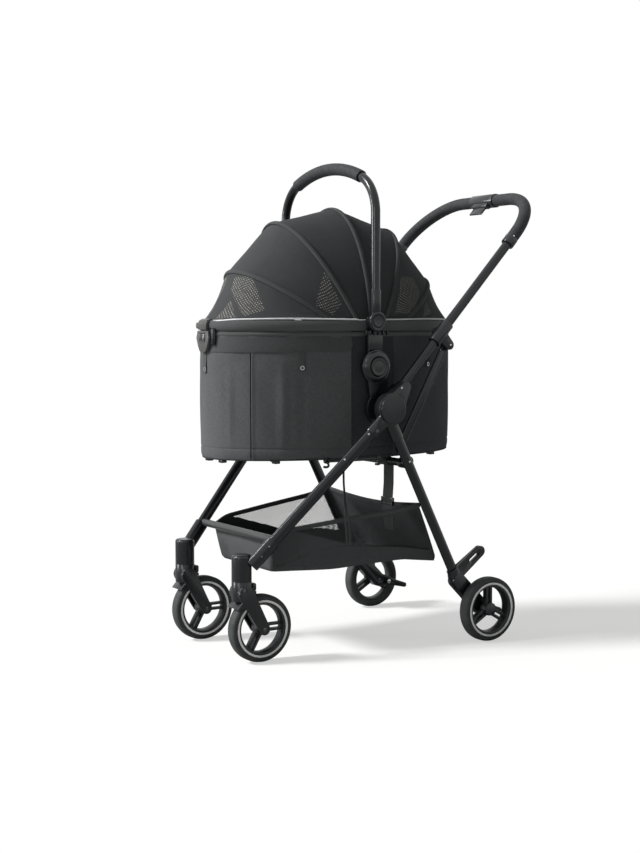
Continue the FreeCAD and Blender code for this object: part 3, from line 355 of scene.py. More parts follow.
class Finish:
    """A node material with a few short ways to add grain, tone and relief."""

    def __init__(self, name, colour, roughness, metallic=0.0, specular=0.5):
        self.material = bpy.data.materials.new(name)
        self.material.use_nodes = True
        self.tree = self.material.node_tree
        self.shader = self.tree.nodes["Principled BSDF"]
        self.colour = colour
        sockets = {"Base Color": (*colour, 1), "Roughness": roughness, "Metallic": metallic}
        for socket, value in {**sockets, "Specular IOR Level": specular}.items():
            self.shader.inputs[socket].default_value = value
        self.place = wired(self.tree, "TexCoord")
        self.tint = self.bump = None

    def wire(self, value, socket):
        self.tree.links.new(value, self.shader.inputs[socket])

    def noise(self, scale, detail=3, stretch=(1, 1, 1), where="Object", rough=0.5):
        mapping = wired(self.tree, "Mapping", {"Scale": stretch, "Vector": self.place[where]})
        sockets = {"Scale": scale, "Detail": detail, "Roughness": rough, "Vector": mapping["Vector"]}
        return wired(self.tree, "TexNoise", sockets)["Fac"]

    def ramp(self, value, low, high, start=0.35, stop=0.65):
        ends = {"From Min": start, "From Max": stop, "To Min": low, "To Max": high, "Value": value}
        return wired(self.tree, "MapRange", ends)["Result"]

    def maths(self, operation, first, second=0.0):
        return wired(self.tree, "Math", {0: first, 1: second}, operation=operation)[0]

    def coloured(self, factor, first, second):
        mix = wired(self.tree, "Mix", {"Factor": factor, "A": first, "B": second}, data_type="RGBA")
        self.tint = mix["Result"]
        self.wire(self.tint, "Base Color")

    def tones(self, factor, dark, light):
        """Colour from dark to light shares of the base colour."""
        self.coloured(factor, *((*(part * share for part in self.colour), 1) for share in (dark, light)))

    def rough(self, factor, low, high):
        self.wire(self.ramp(factor, low, high), "Roughness")

    def relief(self, height, distance, strength):
        """A bump, laid over any bump before it."""
        sockets = {"Distance": distance, "Strength": strength, "Height": height}
        if self.bump:
            sockets["Normal"] = self.bump
        self.bump = wired(self.tree, "Bump", sockets)["Normal"]
        self.wire(self.bump, "Normal")


def satin_paint(name, colour, low=0.21, high=0.26):
    """Powder-coated tube with a soft gloss."""
    finish = Finish(name, colour, 0.24, specular=0.38)
    finish.tones(finish.ramp(finish.noise(8, 2), 0, 1), 0.95, 1.05)
    finish.rough(finish.noise(20, 2), low, high)
    return finish.material


def satin_plastic(name, colour, low=0.22, high=0.27):
    """Smooth moulding with a soft satin shine."""
    finish = Finish(name, colour, 0.25, specular=0.42)
    finish.tones(finish.ramp(finish.noise(18), 0, 1), 0.92, 1.08)
    finish.rough(finish.noise(36, 2), low, high)
    return finish.material


def brushed_steel(name, colour):
    finish = Finish(name, colour, 0.25, metallic=1.0)
    streak = finish.noise(600, stretch=(1, 1, 12))
    finish.tones(finish.ramp(streak, 0, 1), 0.85, 1.1)
    finish.rough(streak, 0.2, 0.34)
    finish.relief(streak, 0.0001, 0.4)
    return finish.material


def foam_rubber(name, colour, grain, depth, specular=0.3):
    """Closed-cell foam, matt and faintly pitted."""
    finish = Finish(name, colour, 0.75, specular=specular)
    finish.tones(finish.ramp(finish.noise(60, 5), 0, 1), 0.85, 1.15)
    finish.rough(finish.noise(300), 0.62, 0.85)
    finish.relief(finish.noise(grain, 5, rough=0.75), depth, 0.3)
    return finish.material


def weave(name, colour, thread, melange, where="UV", specular=0.12, soft=0.0):
    """Plain weave with mottled threads. The weave follows the sheet's own flat size; soft is how deep it ripples."""
    finish = Finish(name, colour, 0.9, specular=specular)
    split = wired(finish.tree, "SeparateXYZ", {0: finish.place[where]})
    across, along = split["X"], split["Y"]
    if where == "Object":
        across, along = finish.maths("ADD", across, along), split["Z"]
    warp, weft = (
        finish.maths("ABSOLUTE", finish.maths("SINE", finish.maths("MULTIPLY", way, math.pi / thread)))
        for way in (across, along)
    )
    lengthways, crossways = (
        finish.noise(1.0, stretch=stretch, where=where) for stretch in ((700, 130, 300), (130, 700, 300))
    )
    yarn = finish.maths("MULTIPLY", finish.maths("ADD", lengthways, crossways), 0.5)
    cloudy = finish.noise(9, where=where)
    mottle = finish.maths("ADD", finish.ramp(yarn, 0, 0.8, 0.36, 0.64), finish.ramp(cloudy, 0, 0.2))
    finish.tones(mottle, 1 - melange, 1 + melange)
    finish.rough(yarn, 0.8, 0.98)
    finish.relief(finish.maths("MAXIMUM", warp, weft), thread * 0.3, 0.6)
    if soft:
        finish.relief(finish.noise(26, where=where), soft, 0.5)
    return finish


def woven_cloth(*settings, **more):
    return weave(*settings, **more).material


def dot_rows(finish, pitch_across, pitch_along, wander=None):
    """The squared distance to the nearest dot, in pitches; every other row is set half a pitch over."""
    split = wired(finish.tree, "SeparateXYZ", {0: finish.place["UV"]})
    u = finish.maths("DIVIDE", split["X"], pitch_across)
    v = finish.maths("DIVIDE", split["Y"], pitch_along)
    if wander:
        u, v = finish.maths("ADD", u, wander), finish.maths("ADD", v, wander)
    row = finish.maths("MULTIPLY", finish.maths("FLOORED_MODULO", finish.maths("FLOOR", v), 2), 0.5)
    u = finish.maths("SUBTRACT", finish.maths("FRACT", finish.maths("ADD", u, row)), 0.5)
    v = finish.maths("SUBTRACT", finish.maths("FRACT", v), 0.5)
    return finish.maths("ADD", finish.maths("MULTIPLY", u, u), finish.maths("MULTIPLY", v, v))


def window_cloth(name, colour):
    """Canopy cloth. Inside the window attribute it is knitted open, with rows of small points that are partly
    see-through and coloured pale as painted light, the bright background showing through the knit.
    """
    finish = weave(name, colour, 0.0009, 0.2)
    wander = finish.maths("MULTIPLY", finish.noise(13, 1, where="UV"), 1.8)
    point = finish.ramp(dot_rows(finish, 0.0090, 0.0076, wander), 1.0, 0.0, 0.032, 0.070)
    window = wired(finish.tree, "Attribute", attribute_name="window")["Fac"]
    inside = finish.ramp(window, 0.0, 1.0, 0.45, 0.6)
    patchy = finish.ramp(finish.noise(95, where="UV"), 0.2, 1.0, 0.40, 0.62)
    shown = finish.maths("MULTIPLY", finish.maths("MULTIPLY", point, inside), patchy)
    # Painted light: the points are coloured pale as if the bright background shone through them.
    finish.coloured(shown, finish.tint, (0.95, 0.90, 0.78, 1))
    finish.wire(finish.maths("SUBTRACT", 1.0, finish.maths("MULTIPLY", shown, 0.45)), "Alpha")
    return finish.material


def net_cloth(name, colour, thread, melange, pitch, opening):
    """Cloth with rows of small round holes inside the window attribute; opening is their radius in pitches."""
    finish = weave(name, colour, thread, melange)
    solid = finish.maths("GREATER_THAN", dot_rows(finish, pitch, pitch), opening * opening)
    window = wired(finish.tree, "Attribute", attribute_name="window")["Fac"]
    outside = finish.maths("LESS_THAN", window, 0.5)
    finish.wire(finish.maths("MAXIMUM", solid, outside), "Alpha")
    return finish.material


PAINT = satin_paint("black_paint", (0.009, 0.0115, 0.0135))
# A lighter copy of the black paint: painted light on the front crossbar and on the link bars' lips.
LIT_PAINT = satin_paint("lit_paint", (0.040, 0.042, 0.042), 0.26, 0.34)
PLASTIC = satin_plastic("black_moulding", (0.009, 0.011, 0.013))
TRIM = satin_plastic("grey_moulding", (0.020, 0.023, 0.025), 0.20, 0.26)
CLASP_GREY = satin_plastic("clasp_moulding", (0.066, 0.066, 0.064), 0.30, 0.40)
STEEL = brushed_steel("zinc_steel", (0.45, 0.46, 0.46))
DARK_STEEL = brushed_steel("black_zinc", (0.10, 0.105, 0.11))
TYRE_FOAM = foam_rubber("tyre_foam", (0.044, 0.047, 0.048), 700, 0.00012)
GRIP_FOAM = foam_rubber("grip_foam", (0.033, 0.036, 0.039), 520, 0.00008, 0.25)
PALE_RING = satin_plastic("pale_ring", (0.98, 0.98, 0.97), 0.20, 0.30)
RIM_BLACK = satin_plastic("rim_moulding", (0.018, 0.020, 0.022), 0.36, 0.5)
SHELL = woven_cloth("shell_cloth", (0.104, 0.106, 0.110), 0.0010, 0.2, soft=0.0012)
SIDE_CLOTH = woven_cloth("side_cloth", (0.046, 0.050, 0.053), 0.0010, 0.2, soft=0.001)
# The rear cloth is the shell cloth made darker: painted shade for the wall's rear panel.
REAR_CLOTH_SHADED = woven_cloth("rear_cloth", (0.062, 0.066, 0.070), 0.0010, 0.2, soft=0.001)
RIM_CLOTH = woven_cloth("rim_cloth", (0.066, 0.069, 0.070), 0.0008, 0.14, specular=0.6, soft=0.0014)
ELASTIC = woven_cloth("elastic_band", (0.082, 0.084, 0.086), 0.0012, 0.16, soft=0.0010)
PIPING = woven_cloth("pale_piping", (0.86, 0.88, 0.89), 0.0007, 0.08)
HOOD_NET = window_cloth("hood_cloth", (0.060, 0.063, 0.065))
# The rib cloth is the hood cloth made lighter: painted highlight on the raised welts over the bows.
LIT_RIDGE = woven_cloth("ridge_binding", (0.074, 0.077, 0.079), 0.0008, 0.12)
BASKET_NET = net_cloth("basket_net", (0.078, 0.082, 0.084), 0.0012, 0.2, 0.0030, 0.45)
WEBBING = woven_cloth("webbing", (0.070, 0.073, 0.075), 0.0014, 0.2)
BINDING = woven_cloth("basket_binding", (0.082, 0.085, 0.087), 0.0009, 0.15)
BOARD = woven_cloth("board_cover", (0.05, 0.052, 0.055), 0.001, 0.2, where="Object")
SLOT_OF = {
    finish.name: slot
    for slot, finishes in {
        "tube": (PAINT, LIT_PAINT),
        "plastic": (PLASTIC,),
        "plastic_trim": (TRIM, CLASP_GREY),
        "steel": (STEEL, DARK_STEEL),
        "foam": (GRIP_FOAM,),
        "tyre": (TYRE_FOAM,),
        "rim": (PALE_RING, RIM_BLACK),
        "fabric": (SHELL, SIDE_CLOTH, REAR_CLOTH_SHADED, RIM_CLOTH, ELASTIC, PIPING, WEBBING),
        "canopy": (HOOD_NET, LIT_RIDGE),
        "basket": (BASKET_NET, BINDING),
        "board": (BOARD,),
    }.items()
    for finish in finishes
}


# ---- frame pieces carried over


def softened(node, finish, width, segments=2, degrees=35):
    """A merged copy of a node's mesh with its sharp edges rounded, shown in the node's place."""
    piece = placed(node + "_shown", frame["nodes"][node].data.copy())
    piece.data.materials.clear()
    welded(piece, 2e-6)
    if width:
        edited(piece, (bpy.ops.mesh.dissolve_limited, {"angle_limit": math.radians(0.6)}))
        eased(piece, width * MM, segments, degrees)
    if piece.data.has_custom_normals:
        pick(piece)
        bpy.ops.mesh.customdata_custom_splitnormals_clear()
    finished(smooth(piece, 34), BODY_OF[node], finish, node)


def dress_frame():
    """Tubes and mouldings whose shape comes straight from the frame, each with its edges' rounding in millimetres."""
    tubes = (
        "front_legs", "guide_tubes", "handle_tube", "carry_arch", "rear_leg_left", "rear_leg_right", "rear_crossbar",
    )
    mouldings = {
        "caster_sockets": 1.2, "hubs": 1.2, "hub_covers": 0.6, "carrier_receivers": 1.0,
        "handle_brackets": 1.2, "rear_leg_heads": 1.0, "crossbar_clamps": 1.2, "axle_brackets": 1.4,
        "brake_lever_left": 1.4, "brake_lever_right": 1.4, "side_plates": 0.9, "arch_sleeves": 0.8,
        "caster_fork_left": 1.2, "caster_fork_right": 1.2, "swivel_lock_left": 1.0, "swivel_lock_right": 1.0,
    }
    pins = ("rear_axles", "hub_pins", "caster_pins_left", "caster_pins_right", "frame_rivets")
    for finish, eases, *rounding in (
        (PAINT, dict.fromkeys(tubes, 0)),
        # The crossbar takes the lighter paint as painted light.
        (LIT_PAINT, {"front_crossbar": 0}),
        (PLASTIC, mouldings),
        (TRIM, {"release_unit": 2.0, "release_lever": 1.6, "grip_collars": 1.2}),
        (GRIP_FOAM, {"handle_grip": 2.5, "arch_grip": 2.5}, 3, 50),
        (PAINT, {"link_bar_left": 0.5, "link_bar_right": 0.5}),
        (DARK_STEEL, dict.fromkeys(pins, 0.4)),
        (BOARD, {"base_board": 1.0}),
    ):
        for node, ease in eases.items():
            softened(node, finish, ease, *rounding)


# ---- wheels


def spoke(name, axle, angle):
    """One spoke of two ribs with a web between them that stops short of the rim. Corners are in millimetres."""
    parts = [
        slab("part", axle + Vector(low) * MM, axle + Vector(high) * MM, ease * MM)
        for low, high, ease in (
            ((-7.0, -8.9, 12), (6.5, -3.1, 52.5), 1.1),
            ((-7.0, 3.1, 12), (6.5, 8.9, 52.5), 1.1),
            ((-3.0, -4.5, 12), (2.6, 4.5, 24), 0.8),
        )
    ]
    whole = joined(name, parts)
    there = Matrix.Translation(axle)
    whole.data.transform(there @ Matrix.Rotation(math.radians(angle), 4, "X") @ there.inverted())
    return whole


def symmetric(half, middle):
    """A closed profile from its right half, the middle point and the mirrored left half."""
    left = [(-x, r) for x, r in half]
    return left + [middle] + half[::-1] + left[:1]


def wheel(place, both_rings, domed):
    """Tyre, rim and pale rings for one left wheel, then the same on the right."""
    low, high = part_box(f"{place}_tyre_left")
    axle = (Vector(low) + Vector(high)) / 2
    tread = symmetric(
        [(12.6, 56.9), (13.9, 57.6), (14.7, 60.5), (15.0, 65.0), (14.5, 69.0), (12.9, 72.2), (10.2, 74.1), (6.4, 74.9)],
        (0, 75.0),
    )
    tyre = lathe(f"{place}_tyre_foam_left", tread, axle, segments=120, degrees=40)
    band = symmetric([(12.8, 57.0), (13.4, 55.6), (12.8, 53.6), (10.5, 52.4), (6.0, 51.2)], (0, 50.8))
    hub = [(-14.5, 4.3), (-14.5, 12.0), (-13.4, 13.6), (-8.0, 15.0), (0, 16.0), (8.0, 15.4), (11.5, 14.6), (12.4, 13.6)]
    if domed:
        hub += [(12.6, 13.2), (14.6, 11.4), (16.4, 8.0), (17.3, 4.0), (17.5, 0.05), (-14.4, 0.05), (-14.5, 4.3)]
    else:
        hub += [(12.4, 12.4), (13.2, 12.2), (14.5, 11.0), (14.5, 4.3), (-14.5, 4.3)]
    rim_parts = [lathe("rim_band", band, axle, segments=120, degrees=40), lathe("rim_hub", hub, axle)]
    first = 0 if domed else 30
    rim_parts += [spoke(f"spoke_{number}", axle, number * 120 + first) for number in range(3)]
    rim = joined(f"{place}_rim_moulded_left", rim_parts)
    ring = [(14.0, 58.3), (15.1, 58.6), (15.5, 60.6), (15.4, 62.9), (14.4, 63.5), (14.0, 58.3)]
    profiles = [ring] + ([[(-x, r) for x, r in ring]] if both_rings else [])
    rings = [lathe("ring", profile, axle, segments=120, degrees=50) for profile in profiles]
    body = f"{place}_wheel_SIDE"
    both_sides(tyre, body, TYRE_FOAM, f"{place}_tyre")
    both_sides(rim, body, RIM_BLACK, f"{place}_rim")
    both_sides(joined(f"{place}_wheel_ring_left", rings), body, PALE_RING)


# ---- carrier walls and rim

MIDDLE_Y = -0.071
HALF_LONG = 0.322
HALF_WIDE = 0.177
WALL_LOW, WALL_HIGH = 0.4405, 0.7245
PLEAT = 34.3
PANEL_EDGE = 80.5
REAR_EDGE = 101.0
PER_DEGREE = 0.0052


def around(degrees, z, out=0.0):
    """A point on the carrier's oval; 0 is the front and 90 the left side. out is away from the wall."""
    angle = math.radians(degrees)
    x, y = HALF_WIDE * math.sin(angle), -HALF_LONG * math.cos(angle)
    normal = Vector((math.sin(angle) / HALF_WIDE, -math.cos(angle) / HALF_LONG, 0)).normalized()
    return Vector((x, MIDDLE_Y + y, z)) + normal * out


def oval_length(start=-180.0, stop=180.0, out=0.0):
    steps = 360
    corners = [around(start + (stop - start) * step / steps, 0, out) for step in range(steps + 1)]
    return sum((b - a).length for a, b in zip(corners, corners[1:]))


def within(value, low=0.0, high=1.0):
    return min(max(value, low), high)


def bell(distance, width):
    """1 at nought, falling smoothly to 0 at the width."""
    share = min(abs(distance) / width, 1.0)
    return (1 - share * share) ** 2


def ramp_up(value, start, stop):
    share = within((value - start) / (stop - start))
    return share * share * (3 - 2 * share)


def wall_relief(degrees, z):
    """How far the sewn wall stands out from the plain oval: seams, pleats, panel edges and slack folds."""
    turn = abs(degrees)
    height = (z - WALL_LOW) / (WALL_HIGH - WALL_LOW)

    def fold(at, width, aside=0.0):
        return bell((turn - at) * PER_DEGREE - aside, width)

    out = 0.0016 * math.sin(math.pi * min(height, 1.0))
    out -= 0.0030 * bell(z - WALL_LOW, 0.010)
    out -= 0.0009 * bell(z - 0.465, 0.0035)
    out -= 0.0024 * ramp_up(z, 0.716, 0.7225)
    if z < 0.674:
        out += 0.0012 * fold(PLEAT, 0.004, 0.0035) - 0.0048 * fold(PLEAT, 0.0022)
    out += 0.0016 * (1 - ramp_up(turn, PANEL_EDGE - 0.2, PANEL_EDGE + 0.5))
    out += 0.0014 * ramp_up(turn, REAR_EDGE - 0.4, REAR_EDGE + 0.4)
    out += 0.0011 * bell(z - 0.655, 0.03) * math.sin(math.radians(turn * 9 + 20)) * (turn < PANEL_EDGE)
    slack = math.sin(math.pi * min(max(height, 0.0) / 0.83, 1.0))
    out += slack * (0.0026 * fold(50, 0.016) - 0.0016 * fold(59, 0.013) + 0.0018 * fold(22, 0.014))
    out += 0.0008 * math.sin(turn * 0.33 + z * 21) * math.sin(z * 17 + 1.3)
    return out


def crowded(start, stop, count, places, spread):
    """Evenly spread steps with a few more on each side of the given places."""
    steps = {start + (stop - start) * step / count for step in range(count + 1)}
    for place in places:
        for share in (-1, -0.7, -0.45, -0.25, -0.1, 0, 0.1, 0.25, 0.45, 0.7, 1):
            if start < place + share * spread < stop:
                steps.add(place + share * spread)
    return sorted(steps)


def sew_walls():
    """The wall in three cloths (the rear one is the front cloth darkened as painted shade), and the carrier's
    underside.
    """
    seams = [side * seam for side in (-1, 1) for seam in (PLEAT, PANEL_EDGE, REAR_EDGE)]
    columns = crowded(-180, 180, 220, seams, 0.9)
    rows = crowded(WALL_LOW, WALL_HIGH, 44, (0.465, 0.719), 0.004)
    perimeter = oval_length()

    def place(u, v):
        degrees = columns[round(u * (len(columns) - 1))]
        z = rows[round(v * (len(rows) - 1))]
        return around(degrees, z, wall_relief(degrees, z))

    wall = grid("carrier_wall", len(columns) - 1, len(rows) - 1, place, (perimeter, WALL_HIGH - WALL_LOW))
    for cloth in (SHELL, SIDE_CLOTH, REAR_CLOTH_SHADED):
        wall.data.materials.append(cloth)
    for face in wall.data.polygons:
        x, y = face.center.x / HALF_WIDE, -(face.center.y - MIDDLE_Y) / HALF_LONG
        turn = abs(math.degrees(math.atan2(x, y)))
        # Index 2, the rear panel, takes the darkened cloth that paints its shade.
        face.material_index = 0 if turn < PANEL_EDGE + 0.1 else 1 if turn < REAR_EDGE else 2
    thickened(wall, 0.0022, -1, 60)
    finished(wall, "carrier", SHELL, "carrier_tub")

    nothing_selected()
    bpy.ops.mesh.primitive_circle_add(vertices=128, radius=1, fill_type="NGON", location=(0, MIDDLE_Y, WALL_LOW))
    under = named("carrier_underside")
    under.scale = (HALF_WIDE - 0.004, HALF_LONG - 0.004, 1)
    settled(under)
    edited(under, (bpy.ops.mesh.inset, {"thickness": 0.012}), (bpy.ops.mesh.inset, {"thickness": 0.03}))
    modified(under, "SOLIDIFY", thickness=0.003, offset=0)
    edited(outward(under), (bpy.ops.uv.smart_project, {}))
    finished(smooth(under, 40), "carrier", SIDE_CLOTH)


def rim_tube(name, z, out, wide, high, sides, steps, ends=None, pucker=0.0, wander=0.0):
    """A soft roll that follows the oval, round it all or between two angles."""
    start, stop = ends or (-180, 180)

    def line(u):
        degrees = start + (stop - start) * u
        end = 1.0
        if ends:
            from_end = min(u, 1 - u) * (stop - start) * 0.0045
            end = math.sqrt(max(0.0, 1 - (1 - min(from_end / wide, 1.0)) ** 2))
        swell = end * (1 + pucker * math.sin(math.radians(degrees) * 23) * math.sin(math.radians(degrees) * 7 + 1))
        dip = wander * (1.6 * ramp_up(abs(degrees), 26, 8) + 0.35 * math.sin(math.radians(degrees * 5)))
        middle = around(degrees, z - dip, out)
        return middle, around(degrees, z - dip, out + wide * swell) - middle, Vector((0, 0, high * swell))

    size = oval_length(start, stop, out), math.pi * (wide + high)
    return roll(name, steps, sides, size, line, 70, 1e-4 if ends else 2e-5)


def roll_rim():
    """The padded rim, the seam under it, the pale piping on top and the hem at the base."""
    rim = rim_tube("carrier_rim_roll", 0.7356, -0.0015, 0.0072, 0.0125, 24, 300, pucker=0.02)
    finished(rim, "carrier", RIM_CLOTH, "carrier_rim")
    seam = rim_tube("rim_under_seam", 0.7165, -0.0006, 0.0040, 0.0052, 14, 240)
    finished(seam, "carrier", RIM_CLOTH)
    for name, ends in (("rim_piping_left", (3.2, 84.0)), ("rim_piping_rear_left", (96.0, 179.9))):
        cord = rim_tube(name, 0.7500, 0.0008, 0.0017, 0.0017, 12, 160, ends, wander=0.0026)
        both_sides(cord, "carrier", PIPING)
    hem = rim_tube("base_hem", 0.4415, -0.0035, 0.0034, 0.0030, 12, 240)
    finished(hem, "carrier", SIDE_CLOTH)


def sew_band():
    """The elastic band under the rim, round the front between the side panels, with rounded ends."""
    start, stop = -PANEL_EDGE - 0.3, PANEL_EDGE + 0.3
    low, high, out, corner = 0.6775, 0.7195, 0.0018, 0.012
    length = oval_length(start, stop, out)

    def place(u, v):
        from_end = min(u, 1 - u) * length
        draw = 0.0
        if from_end < corner:
            draw = corner - math.sqrt(max(0.0, corner**2 - (corner - from_end) ** 2))
        z = low + draw + (high - low - 2 * draw) * v
        swell = 0.0007 * math.sin(math.pi * v) + 0.0022 * (1 - ramp_up(v, 0.0, 0.85))
        return around(start + (stop - start) * u, z, out + swell)

    band = thickened(grid("elastic_band", 160, 28, place, (length, high - low)), 0.0016, -1, 50)
    finished(band, "carrier", ELASTIC)


def snap_tab(name, degrees, z):
    """A short cloth tab with a steel snap on its rounded end."""
    low, high, half_wide = z - 0.009, z + 0.036, 0.0065

    def place(u, v):
        height = low + (high - low) * v
        half = half_wide
        if height - low < half:
            half = math.sqrt(max(half**2 - (half - height + low) ** 2, 1e-10))
        centre = around(degrees, height, wall_relief(degrees, height) + 0.0010 + 0.0006 * math.sin(v * 6))
        ahead = (around(degrees + 0.5, height) - around(degrees - 0.5, height)).normalized()
        return centre + ahead * (u - 0.5) * 2 * half

    tab = thickened(grid(name, 10, 26, place, (0.013, 0.045)), 0.0022, 0, 50)
    finished(tab, "carrier", ELASTIC if abs(degrees) < PANEL_EDGE else SIDE_CLOTH)
    normal = (around(degrees, z, 0.01) - around(degrees, z)).normalized()
    cup = [(0, 5.2), (1.2, 5.2), (1.9, 4.6), (1.9, 3.2), (0.7, 2.8), (0.5, 0.05)]
    seat = around(degrees, z, wall_relief(degrees, z) + 0.0010)
    finished(lathe(name + "_snap", cup, seat, normal, 32, 40), "carrier", STEEL)


def sew_tabs():
    places = ((0.0, 0.639), (58.8, 0.643), (-58.8, 0.643), (122.7, 0.646), (-122.7, 0.646))
    for number, (degrees, z) in enumerate(places):
        snap_tab(f"snap_tab_{number}", degrees, z)


# ---- canopy

HOOD_Z = 0.677
HOOD_R = 0.328
HOOD_W = 0.179
DECK = 0.7492
END_PANEL = 26.0
BOWS = (33.8, 61.9, 89.3, 117.0, 145.0)
BOW_RADII = (0.309, 0.3225, 0.328, 0.327, 0.314)
WINDOWS = (
    ((147.5, 5.5), (145.5, 21), (158.5, 36), (164, 27), (153, 5.5)),
    ((157.5, 10), (165, 22), (167, 6)),
    ((118.5, 50), (123.5, 65), (139, 65), (142.5, 57)),
    ((58, 51), (47, 41), (38, 44), (34, 62), (51, 69)),
    ((31.5, 44), (23, 44), (25, 56)),
)


def hood_radius(degrees, drop):
    """The sheet's distance from the hood's centre line: full at a bow, drawn in between two bows."""
    degrees = within(degrees, BOWS[0], BOWS[-1])
    for low, high, at_low, at_high in zip(BOWS, BOWS[1:], BOW_RADII, BOW_RADII[1:]):
        if degrees <= high:
            share = (degrees - low) / (high - low)
            return at_low + (at_high - at_low) * share - drop - 0.0095 * (1 - abs(2 * share - 1) ** 1.7)


def hood_point(degrees, side, drop, lift=0.0):
    """side runs from -1 at the right rim over the top to 1 at the left rim."""
    radius = hood_radius(degrees, drop) + lift
    turn = math.radians(degrees)
    lean = side * math.acos((DECK - HOOD_Z) / (radius * math.sin(turn)))
    reach = radius * math.cos(lean)
    x = (HOOD_W - drop + lift) * math.sin(lean)
    return Vector((x, MIDDLE_Y + reach * math.cos(turn), HOOD_Z + reach * math.sin(turn)))


def end_point(degrees, share, side, drop):
    """From the last bow straight down to the rim, a little hollow on the way."""
    top = hood_point(degrees, side, drop)
    foot = hood_point(degrees, 1.0, drop)
    wide = HOOD_W - drop - 0.0022
    turn = side * math.asin(min(foot.x / wide, 1.0))
    long = 0.013 + drop - HOOD_R if degrees > 90 else HOOD_R - drop - 0.010
    low = Vector((wide * math.sin(turn), MIDDLE_Y + long * math.cos(turn), DECK))
    inward = Vector((-low.x * 0.4, -(low.y - MIDDLE_Y), -0.06)).normalized()
    sag = (low - top).length * 0.055 * math.sin(math.pi * share ** 1.25)
    return top.lerp(low, share) + inward * sag


def inside_window(place):
    """How far inside a mesh window a point is: 1 well in, 0 well out. Each window's corners run clockwise."""
    turn = math.degrees(math.atan2(place.z - HOOD_Z, place.y - MIDDLE_Y))
    lean = math.degrees(math.asin(min(abs(place.x) / HOOD_W, 1.0)))
    best = -9.0
    for outline in WINDOWS:
        nearest = 9.0
        for first, second in zip(outline, outline[1:] + outline[:1]):
            edge = Vector(second) - Vector(first)
            inward = Vector((edge.y, -edge.x)).normalized()
            nearest = min(nearest, inward.dot(Vector((turn, lean)) - Vector(first)))
        best = max(best, nearest)
    return within(0.5 + best / 3)


def masked(sheet, inside):
    """Paint the window attribute from the places of the sheet's corners, and measure the sheet."""
    mask = sheet.data.attributes.new("window", "FLOAT", "POINT")
    mask.data.foreach_set("value", [inside(corner.co) for corner in sheet.data.vertices])
    return sum(face.area for face in sheet.data.polygons)


def hood_sheet(name, start, stop, drop, end_panel):
    """One sheet of the canopy from bow to bow, with its end panel down to the rim."""
    span = stop - start
    body_share = span / (span + END_PANEL) if end_panel else 1.0
    body_from = 1 - body_share if end_panel == "low" else 0.0
    body_to = body_from + body_share

    def place(u, v):
        side = 2 * v - 1
        if end_panel == "high" and u > body_to:
            return end_point(stop, (u - body_to) / (1 - body_to), side, drop)
        if end_panel == "low" and u < body_from:
            return end_point(start, (body_from - u) / body_from, side, drop)
        return hood_point(start + span * (u - body_from) / body_share, side, drop)

    length = math.radians(span + (END_PANEL if end_panel else 0)) * HOOD_R
    return grid(name, 120 if end_panel else 50, 140, place, (length, 0.80)), length


def hoop(name, degrees, drop, body=None, replaces=None):
    """The cloth-covered rib over a bow, in the lighter rib cloth as painted highlight."""
    half, high = 0.0058, 0.0034

    def line(u):
        middle = hood_point(degrees, 2 * u - 1, drop)
        out = (hood_point(degrees, 2 * u - 1, drop, 0.001) - middle).normalized()
        turn = math.radians(degrees)
        return middle + out * 0.0006, Vector((0, -math.sin(turn), math.cos(turn))) * half, out * high

    return finished(roll(name, 110, 16, (0.8, 0.03), line), body, LIT_RIDGE, replaces)


def cover_hood():
    """Three sheets that overlap at the bows, and the ribs over the bows."""
    for part, start, stop, drop, end_panel, bow in (
        ("rear", 33.8, 89.9, 0.0, "low", "canopy_bows_shown"),
        ("middle", 89.0, 117.4, 0.0009, None, "middle_bow_shown"),
        ("front", 116.6, 145.0, 0.0018, "high", "front_bow_shown"),
    ):
        sheet, length = hood_sheet(f"canopy_{part}_cloth", start, stop, drop, end_panel)
        area = masked(sheet, inside_window)
        finished(thickened(sheet, 0.0007, -1, 60), None, HOOD_NET, f"canopy_{part}")
        if part == "rear":
            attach(sheet, "carrier")
        elif part == "middle":
            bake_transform(sheet)
        else:
            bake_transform(sheet)
    bows = [hoop("bow", degrees, 0.0) for degrees in BOWS[:3]]
    finished(joined("canopy_bows_shown", bows), "carrier", LIT_RIDGE, "canopy_bows")
    hoop("middle_bow_shown", 117.0, 0.0009, "canopy_middle", "middle_bow")
    hoop("front_bow_shown", 145.0, 0.0018, "canopy_front", "front_bow")


# ---- lower basket

TOP_LINE = ((0.0, 0.2630), (0.08, 0.284), (0.45, 0.300), (0.80, 0.314), (1.0, 0.326))
BOTTOM_LINE = ((0.0, 0.1915), (0.35, 0.1860), (0.55, 0.1915), (0.8, 0.1970), (1.0, 0.1860))
SEAM_LINE = ((-0.30, 0.198), (-0.265, 0.205), (-0.202, 0.231), (-0.144, 0.241), (0.016, 0.228), (0.14, 0.206))
BASKET_FRONT = -0.3085
BASKET_MIDDLE = -0.09
BASKET_REAR_TOP, BASKET_REAR_FOOT = 0.057, 0.112


def along_line(line, share):
    """The height of a line of straight runs at the given share."""
    for (low, at_low), (high, at_high) in zip(line, line[1:]):
        if share <= high:
            return at_low + (at_high - at_low) * within((share - low) / (high - low))
    return line[-1][1]


def soft_line(line, share, spread=0.05):
    return sum(along_line(line, share + spread * step / 3) for step in range(-3, 4)) / 7


def basket_side(u, v):
    """A point on the left side of the basket: u runs from front to rear, v from the floor up."""
    top_y = BASKET_FRONT + (BASKET_REAR_TOP - BASKET_FRONT) * u
    top = Vector((0.132 + 0.062 * u, top_y, soft_line(TOP_LINE, u)))
    foot_y = BASKET_FRONT + 0.012 + (BASKET_REAR_FOOT - BASKET_FRONT) * u
    foot = Vector((0.116 + 0.058 * u, foot_y, soft_line(BOTTOM_LINE, u)))
    point = foot.lerp(top, v)
    point.x += 0.007 * math.sin(math.pi * v) * math.sin(math.pi * within(u, 0.05, 0.95))
    point.x -= 0.004 * bell(u - 0.13 - 0.05 * v, 0.035) * (1 - v) * math.sin(math.pi * min(v * 1.6 + 0.1, 1))
    return point


